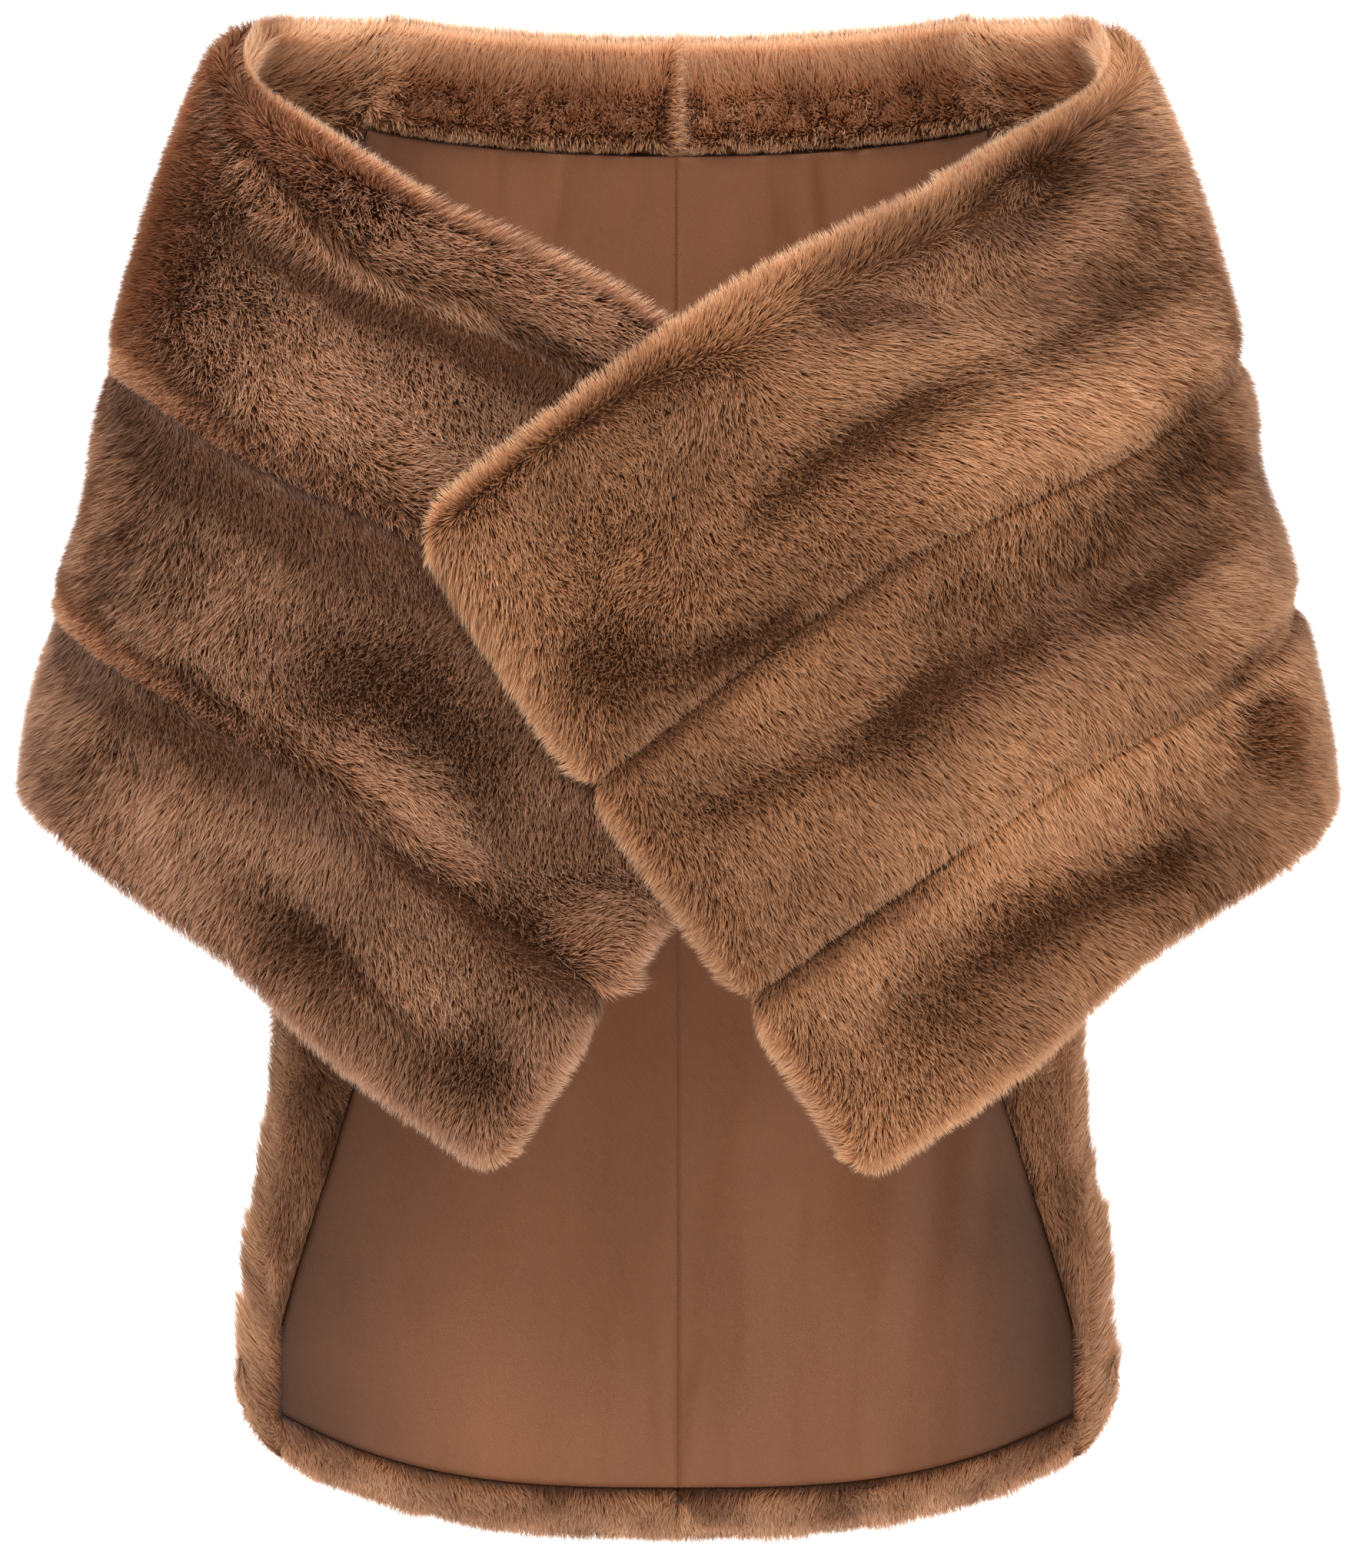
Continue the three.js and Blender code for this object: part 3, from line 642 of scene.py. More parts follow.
# At a seam of the right band the strip above stands out over the one below it, with a painted
# highlight along its ridge and a painted shadow below the seam.
SEAM_RIDGE, SEAM_SHADE = 6.5, 16
SEAM_FROM, SEAM_FULL = 0.08, 0.4
RIDGE_RISE, RIDGE_PAINTED_HIGHLIGHT = 0.6, 0.5
SHADE_RISE, SEAM_PAINTED_SHADOW = -0.3, -0.38


def blend(flow, weight, other):
    return tuple(a * (1 - weight) + b * weight for a, b in zip(flow, other))


def combed(hand, u, v, flow, tone):
    """A band's hair with its listed nap and shades: flow, tone and how high it stands."""
    x, y = u * BAND_LENGTH, v * BAND_WIDTH
    rise = 1 + 0 * u
    # The nap's tone is partly the hair's own and partly painted sheen and shade.
    for at_u, at_v, reach_u, reach_v, way, lean, paler in BAND_NAP[hand]:
        weight = near(x - at_u * BAND_LENGTH, NAP_SPREAD * reach_u)
        weight = weight * near(y - at_v * BAND_WIDTH, NAP_SPREAD * reach_v)
        flow = blend(flow, weight, turned((lean, 0), math.radians(way)))
        tone = tone + weight * paler
    # The shade lines paint shade and highlight into the tone, and lower or raise the hair along them.
    for *line, reach, paler, upright in BAND_SHADES[hand]:
        weight = soft_line(line, u, v, reach, BAND_WIDTH)
        flow = blend(flow, weight * upright, (0, 0))
        tone = tone + weight * paler
        rise = rise + FURROW * weight * paler
    return flow, tone, rise


def band_nap(hand, start, u, v):
    """Nap of a band's strip: hair lies from neck to hem, but over the edges where it is free."""
    left = hand == "left"
    seed = 11 + int(start * 100) + (0 if left else 50)
    x, y = u * BAND_LENGTH, v * BAND_WIDTH
    swirl, finer, lean, shade, finer_shade = drifts(seed, x, y, BAND_DRIFTS)
    flow = turned((0 * u, BAND_LEAN + lean), math.radians(BAND_WAY[hand]) + swirl + finer)
    # The folds' painted light: darker hair in their troughs, paler on their ridges.
    tone = BAND_TONE + FOLD_PAINTED_LIGHT * band_folds(hand, u, v) + shade + finer_shade
    flow, tone, rise = combed(hand, u, v, flow, tone)
    flow = turned(flow, BAND_RUFFLE * drift(seed + 5, x, y, BAND_RUFFLE_CELL))
    edge = near(y, NECK_EDGE_REACH[hand])
    end = near(BAND_LENGTH - x, END_REACH)
    hem = near(BAND_WIDTH - y, END_REACH)
    flow = blend(flow, edge, (flow[0] * 0.5, -0.8) if left else (0.75, -0.5))
    flow = blend(flow, end, (1.0, flow[1] * 0.5))
    flow = blend(flow, hem, (flow[0], 1.0))
    tone = tone + END_PALER * np.maximum(end, hem) + NECK_EDGE_PALER[hand] * edge
    # The right band's seams raise the hair above them, paint a highlight there and paint a shadow
    # below.
    step, paler = (0, 0) if left else seam_step(u, y)
    return flow, tone + paler, np.maximum(rise + step, LOWEST_FUR)


def seam_step(u, y):
    """How much higher hair is by the seams of the right band, and how much paler it is painted: a
    highlight above each seam and a shadow below it.
    """
    rise, paler = 0 * y, 0 * y
    full = smooth(u, SEAM_FROM, SEAM_FULL)
    for _, start, _, _, _ in STRIPS[1:]:
        past = y - start * BAND_WIDTH
        above, below = full * near(past, SEAM_RIDGE), full * near(past, SEAM_SHADE)
        rise = rise + np.where(past < 0, RIDGE_RISE * above, SHADE_RISE * below)
        paler = paler + np.where(past < 0, RIDGE_PAINTED_HIGHLIGHT * above, SEAM_PAINTED_SHADOW * below)
    return rise, paler


def band_strip(hand, side, strip):
    name, start, stop, neck_corner, hem_corner = strip
    on_neck, on_hem = start == 0, stop == 1
    width = (stop - start) * BAND_WIDTH
    gap = SEAM_GAP / 2

    def edges(u):
        to_end = (1 - u) * BAND_LENGTH
        low = (0 if on_neck else gap) + corner_inset(neck_corner, to_end)
        high = width - (0 if on_hem else gap) - corner_inset(hem_corner, to_end)
        return to_end, low, high

    def across(u, t):
        _, low, high = edges(u)
        return start + (low + (high - low) * t) / BAND_WIDTH

    def place(u, t):
        return band_place(hand, u, across(u, t))

    def skin(u, t):
        return band_skin(hand, u, across(u, t))[0]

    def pile(u, t):
        to_end, low, high = edges(u)
        to_low, to_high = (high - low) * t, (high - low) * (1 - t)
        seams = [u * BAND_LENGTH, width if on_neck else to_low, width if on_hem else to_high]
        free = [to_end, to_low if on_neck else width, to_high if on_hem else width]
        v = across(u, t)
        fur = fur_height(PILE, seams, free) + band_skin(hand, u, v)[1]
        return np.maximum(fur * band_crease(hand, u, v), SKIN)

    def core(u, t):
        inside_t = EDGE_ROUND / width
        t = np.maximum(t, inside_t) if on_neck else t
        t = np.minimum(t, 1 - inside_t) if on_hem else t
        return np.minimum(u, 1 - EDGE_ROUND / BAND_LENGTH), t

    def nap(u, t):
        return band_nap(hand, start, u, start + t * width / BAND_WIDTH)

    size, cut = (BAND_LENGTH, width), (width, BAND_LENGTH, 1)
    pelt = Pelt(f"{hand}_{name}", side, size, cut, place, skin, pile, core, nap)
    pelt.fur = hand
    return pelt


# Drifts of a neck facing's hair: its turn at the top, its foot's two ways, and its upright part.
FACING_TURN, FACING_TURN_CELL = 0.55, 34
FACING_FOOT_WAYS = ((0.5, 9), (0.75, 8))
FACING_UPRIGHT = 0.3


def facing_flow(seed, x, y):
    """Flow of a neck facing's hair: up at its top, every way below, and down over its foot."""
    t = y / FACING_DEPTH
    flow = turned((0 * y, -0.85 + 0 * y), FACING_TURN * drift(seed, x, y, FACING_TURN_CELL))
    upright = [FACING_UPRIGHT * drift(seed + k, x, y, TUFT) for k in (1, 4)]
    flow = blend(flow, 0.75 * smooth(t, 0.3, 0.62), upright)
    along_foot, down = drifts(seed + 2, x, y, FACING_FOOT_WAYS)
    return blend(flow, smooth(t, 0.78, 0.95), (along_foot, 0.75 + down))


def band_facing(hand, side):
    """The facing inside a band's neck edge."""
    end = FACING_LENGTH / BAND_LENGTH
    depth = FACING_DEPTH / BAND_WIDTH

    def place(u, t):
        return band_place(hand, u * end, t * depth)

    def skin(u, t):
        return band_skin(hand, u * end, t * depth)[0] - FACING_GAP

    def pile(u, t):
        free = [t * FACING_DEPTH, (1 - t) * FACING_DEPTH, (1 - u) * FACING_LENGTH]
        return fur_height(FACING_PILE, [u * FACING_LENGTH], free, FACING_ROUND)

    def core(u, t):
        inside = FACING_ROUND / FACING_DEPTH
        return np.minimum(u, 1 - FACING_ROUND / FACING_LENGTH), np.maximum(t, inside)

    def nap(u, t):
        x, y = u * FACING_LENGTH, t * FACING_DEPTH
        flow = facing_flow(71, x, y)
        return flow, 0.62 + 0.25 * drift(72, x, y, 30) + 0.2 * (1 - t), 1

    size, cut = (FACING_LENGTH, FACING_DEPTH), (FACING_DEPTH, FACING_LENGTH, 1)
    name = f"{hand}_neck_facing"
    facing = Pelt(name, side, size, cut, place, skin, pile, core, nap, inward=True)
    # The facings' paler fur is painted light where they lie in shade.
    facing.fur = "facing"
    return facing


# Back panel

# Drifts of its swirl, finer swirl, lean, shade, finer shade, and of where its neck roll ends.
BACK_DRIFTS = ((0.7, 90), (0.35, 36), (0.35, 60), (0.18, 70), (0.16, 24), (14, 24))
BACK_LEAN, BACK_TONE = 0.65, 0.55
BACK_EDGE_REACH, BACK_EDGE_PALER = 17, 0.2


def back_panel(hand, side):
    def place(u, t):
        z = back_height(u, t)
        return on_back(back_x(u, z), z)

    def skin(u, t):
        z = back_height(u, t)
        return down_folds(BACK_FOLDS, side * back_x(u, z), z) * side_fade(u)

    def tail(z):
        return 1 - smooth(z, TAIL_TOP - 30, TAIL_TOP)

    def pile(u, t):
        free = tail(back_height(u, t))
        to_side = (1 - u) * BACK_HALF
        seams = [u * BACK_HALF, to_side + free * BACK_HALF]
        fur = fur_height(PILE, seams, [t * BACK_LENGTH, (1 - t) * BACK_LENGTH])
        rounded = 1 + (round_edge(to_side, EDGE_ROUND) - 1) * free
        return SKIN + (fur - SKIN) * rounded

    def core(u, t):
        inside = EDGE_ROUND / BACK_LENGTH
        inset = tail(back_height(u, t)) * EDGE_ROUND / BACK_HALF
        return np.minimum(u, 1 - inset), np.clip(t, inside, 1 - inside)

    def nap(u, t):
        x, y = u * BACK_HALF, t * BACK_LENGTH
        seed = 91 if side > 0 else 95
        swirl, finer, lean, shade, finer_shade, turn_down = drifts(seed, x, y, BACK_DRIFTS)
        flow = turned((0 * u, BACK_LEAN + lean), swirl + finer)
        turn_down = NECK_ROLL + turn_down
        flow = blend(flow, 1 - smooth(y, turn_down - 26, turn_down + 16), (0.5, -0.85))
        edge = near((1 - u) * BACK_HALF, BACK_EDGE_REACH) * tail(back_height(u, t))
        hem = near((1 - t) * BACK_LENGTH, BACK_EDGE_REACH)
        flow = (flow[0] * (1 - edge) + 0.8 * edge, flow[1] * (1 - hem) + hem)
        folds = down_folds(BACK_FOLDS, side * x, back_height(u, t))
        # The folds' painted light: darker hair in their troughs, paler on their ridges.
        tone = BACK_TONE + FOLD_PAINTED_LIGHT * folds + shade + finer_shade
        return flow, tone + BACK_EDGE_PALER * (edge + hem), 1

    size, cut = (BACK_HALF, BACK_LENGTH), (206, BACK_LENGTH, 0.88)
    return Pelt(f"back_{hand}", side, size, cut, place, skin, pile, core, nap)


# Fur turned in over the tail's edges: the size of its tufts in mm and its tone. Its drifts have seeds
# two apart: its swirl, its shade, its finer swirl and its tufts, with their strengths and cells.
TUFTED = 13
# Painted light: the left hand's turned-in fur has a paler tone than the right hand's.
EDGE_TONE_WITH_PAINTED_LIGHT = {"left": 0.85, "right": 0.55}
SIDE_TONE_WITH_PAINTED_LIGHT = {"left": 0.9, "right": 0.45}
HEM_TONE = 0.45
DEEPEST_CORE = 0.45


def turned_in(name, side, size, cut, spot, pile, core, nap):
    """A pelt on the inside of the back panel, at places whose x and z spot gives."""

    def place(u, t):
        return on_back(*spot(u, t)[:2])

    def skin(u, t):
        return skin_at(side, *spot(u, t)[:2]) - LINING_GAP

    return Pelt(name, side, size, cut, place, skin, pile, core, nap, inward=True)


def tail_edge(hand, side, part):
    """Hair of the back panel that is rolled over an edge of its tail, as the inside shows it."""
    start = (BACK_NECK + BACK_NECK_RISE - TAIL_TOP) / BACK_LENGTH
    on_side = part == "side"
    length = (1 - start) * BACK_LENGTH if on_side else BACK_HALF

    def spot(u, t):
        inset = EDGE_SHOWN * (1 - t)
        if on_side:
            panel_u, panel_v = 1 - inset / BACK_HALF, start + (1 - start) * u
        else:
            panel_u, panel_v = u, 1 - inset / BACK_LENGTH
        z = back_height(panel_u, panel_v)
        return back_x(panel_u, z), z

    def pile(u, t):
        return SKIN + (EDGE_PILE - SKIN) * round_edge((1 - t) * EDGE_SHOWN, EDGE_ROUND)

    def core(u, t):
        return u, np.minimum(t, 1 - EDGE_ROUND / EDGE_SHOWN)

    def nap(u, t):
        waves = ((0.4, 26), (0.36, 20), (0.25, 11), (0.15, TUFTED))
        swirl, shade, finer, ruffle = drifts(161 + side, u * length, t * EDGE_SHOWN, waves, 2)
        flow = turned((0.25 + 0 * u, 0.8 + 0 * u), swirl + finer)
        return flow, EDGE_TONE_WITH_PAINTED_LIGHT[hand] + shade + 0.15 * t, 1 + ruffle

    size, name = (length, EDGE_SHOWN), f"back_{hand}_{part}"
    return turned_in(name, side, size, None, spot, pile, core, nap)


CENTRE_LAP = 8


def back_facing(hand, side):
    """The fur facing that shows inside the back of the neck."""
    depth = FACING_DEPTH / BACK_LENGTH

    def place(u, t):
        z = back_height(u, t * depth)
        return on_back(back_x(u, z), z)

    def skin(u, t):
        z = back_height(u, t * depth)
        return down_folds(BACK_FOLDS, side * back_x(u, z), z) * side_fade(u) - FACING_GAP

    def pile(u, t):
        seams = [u * BACK_HALF, (1 - u) * BACK_HALF]
        free = [t * FACING_DEPTH, (1 - t) * FACING_DEPTH]
        return fur_height(FACING_PILE, seams, free, FACING_ROUND)

    def core(u, t):
        return u, np.maximum(t, FACING_ROUND / FACING_DEPTH)

    def nap(u, t):
        x, y = u * BACK_HALF, t * FACING_DEPTH
        seed = 121 if side > 0 else 125
        flow = facing_flow(seed, x, y)
        tone = (0.8 if hand == "right" else 0.9) - 0.2 * smooth(t, 0.25, 0.6)
        tone = tone + 0.15 * smooth(t, 0.8, 1)
        tone = tone + 0.2 * drift(seed + 4, x, y, 26)
        if hand == "left":
            return flow, tone + 0.2 * near(x - 24, 18), 1
        # The right half's hair laps over the centre seam.
        lap = near(x, CENTRE_LAP)
        return blend(flow, lap, (-0.9, -0.1)), tone + 0.15 * lap, 1 + 0.5 * lap

    size, cut = (BACK_HALF, FACING_DEPTH), (FACING_DEPTH, 150, 1)
    name = f"back_neck_facing_{hand}"
    facing = Pelt(name, side, size, cut, place, skin, pile, core, nap, inward=True)
    # The facings' paler fur is painted light where they lie in shade.
    facing.fur = "facing"
    facing.overhang = 10
    return facing


def tail_facing(hand, side):
    """Fur turned in along the tail's side, between the lining and the tail's edge."""
    length = FACING_TOP - FACING_BOTTOM
    breadth = 30

    def spot(u, t):
        z = FACING_TOP + (FACING_BOTTOM - FACING_TOP) * u
        start = lining_side(z) + PIECE_GAP
        stop = at_height(TAIL, z, TAIL_FACING)
        return start + (stop - start) * t, z, start, stop

    def pile(u, t):
        x, _, start, stop = spot(u, t)
        free = [x - start, stop - x, (1 - u) * length]
        return fur_height(SIDE_FACING_PILE, [length], free, FACING_ROUND)

    def core(u, t):
        _, _, start, stop = spot(u, t)
        inset = np.minimum(FACING_ROUND / (stop - start), DEEPEST_CORE)
        return np.minimum(u, 1 - FACING_ROUND / length), np.minimum(t, 1 - inset)

    def nap(u, t):
        x, y = u * length, t * breadth
        # The shade runs in streaks along the facing.
        shade = 0.42 * drift(143 + side, 0.6 * x, y, 17)
        swirl = 0.5 * drift(141 + side, x, y, 30) + 0.5 * drift(145 + side, x, y, 12)
        flow = turned((0.75 + 0 * u, 0.45 * (t - 0.3)), swirl)
        rise = 1 + 0.3 * drift(147 + side, x, y, TUFTED)
        return flow, SIDE_TONE_WITH_PAINTED_LIGHT[hand] + shade + 0.15 * t, rise

    size, cut = (length, breadth), (45, length, 0.6)
    return turned_in(f"tail_facing_{hand}", side, size, cut, spot, pile, core, nap)


def hem_facing(hand, side):
    """Fur turned in along the tail's hem, below the lining."""
    half, breadth = LINING_HEM_HALF, 22

    def spot(u, t):
        x = SEAM_GAP / 2 + (half - SEAM_GAP / 2) * u
        share = x / at_height(TAIL, np.float64(BACK_HEM), TAIL_SIDE)
        bottom = back_height(share, 1) + SKIN
        top = lining_hem(x) - PIECE_GAP
        return x, top + (bottom - top) * t, top, bottom

    def pile(u, t):
        x, z, top, bottom = spot(u, t)
        free = [top - z, z - bottom, half - x]
        return fur_height(SIDE_FACING_PILE, [x], free, FACING_ROUND)

    def core(u, t):
        _, _, top, bottom = spot(u, t)
        inset = np.minimum(FACING_ROUND / (top - bottom), DEEPEST_CORE)
        return np.minimum(u, 1 - FACING_ROUND / half), np.minimum(t, 1 - inset)

    def nap(u, t):
        waves = ((0.5, 30), (0.42, 20), (0.5, 11), (0.3, TUFTED))
        swirl, shade, finer, ruffle = drifts(151 + side, u * half, t * breadth, waves, 2)
        return turned((0 * u, 0.85), swirl + finer), HEM_TONE + shade + 0.2 * t, 1 + ruffle

    size, cut = (half, breadth), (breadth, half, 0.85)
    return turned_in(f"hem_facing_{hand}", side, size, cut, spot, pile, core, nap)


# Meshes

LINES_EVEN = 0.55
PELT_SHARE = 0.5
HAIR_ROOT = 0.42
CLUMP = 2.8
CLUMP_PULL = 0.25
BLADE_TWIST = 30
TALLEST_HAIR = 1.12
RUFFLE, TUFT_RISE, TUFT_TONE = 0.22, 0.06, 0.06
TONE_STRAY = 0.11
EVEN_TONES = (0.1, 0.9)
SCATTER = 0.14
FLOW_STRAY = 0.12
REACHES = (0.6, 1.3)
HEIGHT, HEIGHT_STRAY = 0.97, 0.08
WIDTHS = (0.75, 1.25)
END_TONES = (0.02, 0.98)
FIELD_SPACING, FEWEST_CELLS = 3, 12
# A blade on the baked strip: half its width there, and its root's and its tip's places.
BAKED_HALF, BAKED_ROOT, BAKED_LENGTH = 0.006, 0.02, 0.96


def lines(length, spacing):
    """Shares of a length, closer together near both ends."""
    even = np.linspace(0, 1, max(round(length / spacing), 5) + 1)
    return LINES_EVEN * even + (1 - LINES_EVEN) * (1 - np.cos(np.pi * even)) / 2


def closed_sheet(name, us, ts, faces, materials):
    """A closed sheet: faces(u, t) gives the points in mm of its back and of its front."""
    bm = bmesh.new()
    bmesh.ops.create_grid(bm, x_segments=len(us) - 1, y_segments=len(ts) - 1, size=0.5)
    made = bmesh.ops.extrude_face_region(bm, geom=bm.faces[:])
    raised = {v for v in made["geom"] if isinstance(v, bmesh.types.BMVert)}
    bm.verts.index_update()
    flat = np.array([v.co[:2] for v in bm.verts]) + 0.5
    i = np.rint(flat[:, 0] * (len(us) - 1)).astype(int)
    j = np.rint(flat[:, 1] * (len(ts) - 1)).astype(int)
    back, front = faces(us[i], ts[j])
    front_side = np.array([v in raised for v in bm.verts])
    points = np.where(front_side[:, None], front, back) * MM
    for vertex, point in zip(bm.verts, points):
        vertex.co = point
    bmesh.ops.recalc_face_normals(bm, faces=bm.faces[:])
    for face in bm.faces:
        face.smooth = True
        face.material_index = 0 if any(v in raised for v in face.verts) else 1
    mesh = bpy.data.meshes.new(name)
    bm.to_mesh(mesh)
    bm.free()
    for material in materials:
        mesh.materials.append(material)
    return add_object(name, mesh)


def add_object(name, mesh):
    made = bpy.data.objects.new(name, mesh)
    bpy.context.scene.collection.objects.link(made)
    return made


def pelt_sheet(pelt, spacing, materials):
    """The pelt's skin and undercoat, on its solid's form but half as deep as the hair."""

    def faces(u, t):
        flat, core, crest = pelt.levels(u, t)
        return core + PELT_SHARE * (flat - core), core + PELT_SHARE * (crest - core)

    us, ts = lines(pelt.length, spacing), lines(pelt.width, spacing)
    return closed_sheet(f"{pelt.node}_pelt", us, ts, faces, materials)


def pelt_fields(pelt):
    """Fields of a pelt's core, crest, outward normal, and the ways that u and t go."""
    rows, columns = (
        max(round(size / FIELD_SPACING), FEWEST_CELLS) + 1 for size in (pelt.length, pelt.width)
    )
    u, t = np.meshgrid(np.linspace(0, 1, rows), np.linspace(0, 1, columns), indexing="ij")
    _, core, crest = pelt.levels(u, t)
    axes = [unit(np.gradient(crest, axis=axis)) for axis in (0, 1)]
    normal = unit(np.cross(*axes))
    middle = (rows // 2, columns // 2)
    flip = np.sign(np.sum(normal[middle] * (crest - core)[middle]))
    return [Field(values) for values in (core, crest, normal * flip, *axes)]


def scattered(rng, pelt, spacing):
    """Places evenly scattered over a pelt, as shares."""
    rows, columns = round(pelt.length / spacing), round(pelt.width / spacing)
    i, j = np.meshgrid(np.arange(rows), np.arange(columns), indexing="ij")
    u = (i.ravel() + rng.random(i.size)) / rows
    t = (j.ravel() + rng.random(j.size)) / columns
    return u, t


def clump_tips(rng, pelt, u, t):
    """Places of the tuft that each hair belongs to, which it is drawn towards."""
    rows, columns = round(pelt.length / CLUMP) + 1, round(pelt.width / CLUMP) + 1
    shift = rng.random((rows + 1, columns + 1, 2))
    i = np.clip(np.rint(u * rows), 0, rows).astype(int)
    j = np.clip(np.rint(t * columns), 0, columns).astype(int)
    spot = shift[i, j] - 0.5
    return (i + spot[:, 0]) / rows, (j + spot[:, 1]) / columns


def hair_mesh(pelt, spacing, width, seed, material, shown=None):
    """The pelt's hair: one tapered blade for a few hairs, rooted in the undercoat."""
    rng = np.random.default_rng(seed)
    core, crest, normal, u_way, t_way = pelt_fields(pelt)
    u, t = scattered(rng, pelt, spacing)
    if shown is not None:
        kept = shown(*pelt.place(u, t))
        u, t = u[kept], t[kept]
    flow, tone, rise = pelt.nap(u, t)
    x, y = u * pelt.length, t * pelt.width
    flow = turned(flow, rng.normal(0, FLOW_STRAY, u.size) + RUFFLE * drift(seed + 1, x, y, TUFT))
    flow = [way + rng.normal(0, SCATTER, u.size) for way in flow]
    rise = rise * (1 + TUFT_RISE * drift(seed + 2, x, y, TUFT))
    tone = np.clip(tone, *EVEN_TONES) + TUFT_TONE * drift(seed + 3, x, y, TUFT)
    reach = HAIR_LEAN * rng.uniform(*REACHES, u.size)
    clump_u, clump_t = clump_tips(rng, pelt, u, t)
    tip_u = u + (clump_u - u) * CLUMP_PULL + flow[0] * reach / pelt.length
    tip_t = t + (clump_t - t) * CLUMP_PULL + flow[1] * reach / pelt.width
    past_u = (tip_u - np.clip(tip_u, 0, 1)) * pelt.length
    past_t = (tip_t - np.clip(tip_t, 0, 1)) * pelt.width
    tip_u, tip_t = np.clip(tip_u, 0, 1), np.clip(tip_t, 0, 1)
    height = np.minimum(rng.normal(HEIGHT, HEIGHT_STRAY, u.size), TALLEST_HAIR)
    rise = (rise * height)[:, None]
    root_core, tip_core = core.at(u, t), core.at(tip_u, tip_t)
    roots = root_core + HAIR_ROOT * (crest.at(u, t) - root_core)
    tips = tip_core + rise * (crest.at(tip_u, tip_t) - tip_core)
    for past, way in ((past_u, u_way), (past_t, t_way)):
        past = np.clip(past, -pelt.overhang, pelt.overhang)[:, None]
        tips = tips + past * way.at(tip_u, tip_t)
    outward = unit(normal.at(tip_u, tip_t))
    along_hair = unit(tips - roots)
    facing = unit(outward - along_hair * np.sum(outward * along_hair, axis=1, keepdims=True))
    sideways = np.cross(along_hair, facing)
    twist = np.radians(rng.uniform(-BLADE_TWIST, BLADE_TWIST, u.size))[:, None]
    across = sideways * np.cos(twist) + facing * np.sin(twist)
    half = (width / 2 * rng.uniform(*WIDTHS, u.size))[:, None]
    corners = np.stack((roots - across * half, roots + across * half, tips), axis=1)
    tone = np.clip(tone + rng.normal(0, TONE_STRAY, u.size), *END_TONES)
    return blades(f"{pelt.node}_hair", corners, tone, material)


def blades(name, corners, tone, material):
    """A mesh of three-cornered blades, with each one's tone and the share along it."""
    count = len(corners)
    index = np.arange(count * 3).reshape(-1, 3)
    mesh = bpy.data.meshes.new(name)
    mesh.from_pydata(corners.reshape(-1, 3) * MM, [], index)
    share = np.tile((0.0, 0.0, 1.0), count)
    mesh.attributes.new("hair_share", "FLOAT", "POINT").data.foreach_set("value", share)
    tones = np.repeat(tone, 3)
    mesh.attributes.new("hair_tone", "FLOAT", "POINT").data.foreach_set("value", tones)
    aside = np.tile((-BAKED_HALF, BAKED_HALF, 0), count)
    uv = np.stack((tones + aside, BAKED_ROOT + BAKED_LENGTH * share), axis=-1)
    corner_verts = np.empty(count * 3, int)
    mesh.loops.foreach_get("vertex_index", corner_verts)
    mesh.uv_layers.new(name="OFBake").data.foreach_set("uv", uv[corner_verts].ravel())
    mesh.materials.append(material)
    return add_object(name, mesh)


# Materials

def colour(code, dye=(1, 1, 1)):
    """Linear RGBA of an sRGB hex value, multiplied by a dye's linear colour."""
    channels = [int(code[i : i + 2], 16) / 255 for i in (1, 3, 5)]
    linear = [c / 12.92 if c <= 0.04045 else ((c + 0.055) / 1.055) ** 2.4 for c in channels]
    return (*(c * share for c, share in zip(linear, dye)), 1.0)


def shades(stops, dye=(1, 1, 1)):
    """Stops of a colour ramp, from places and hex values."""
    return [(place, colour(code, dye)) for place, code in stops]


def add_node(tree, kind, inputs=None, stops=(), **settings):
    """A node with its settings, its inputs set or linked, and a colour ramp's stops."""
    node = tree.nodes.new(kind)
    for name, value in settings.items():
        setattr(node, name, value)
    for name, value in (inputs or {}).items():
        if isinstance(value, bpy.types.NodeSocket):
            tree.links.new(value, node.inputs[name])
        else:
            node.inputs[name].default_value = value
    if stops:
        elements = node.color_ramp.elements
        while len(elements) < len(stops):
            elements.new(0.5)
        for element, (place, shade) in zip(elements, stops):
            element.position = place
            element.color = shade
    return node


def new_material(name):
    material = bpy.data.materials.new(name)
    material.use_nodes = True
    tree = material.node_tree
    tree.nodes.clear()
    return material, tree


def finish_surface(tree, inputs):
    surface = add_node(tree, "ShaderNodeBsdfPrincipled", inputs)
    add_node(tree, "ShaderNodeOutputMaterial", {"Surface": surface.outputs["BSDF"]})


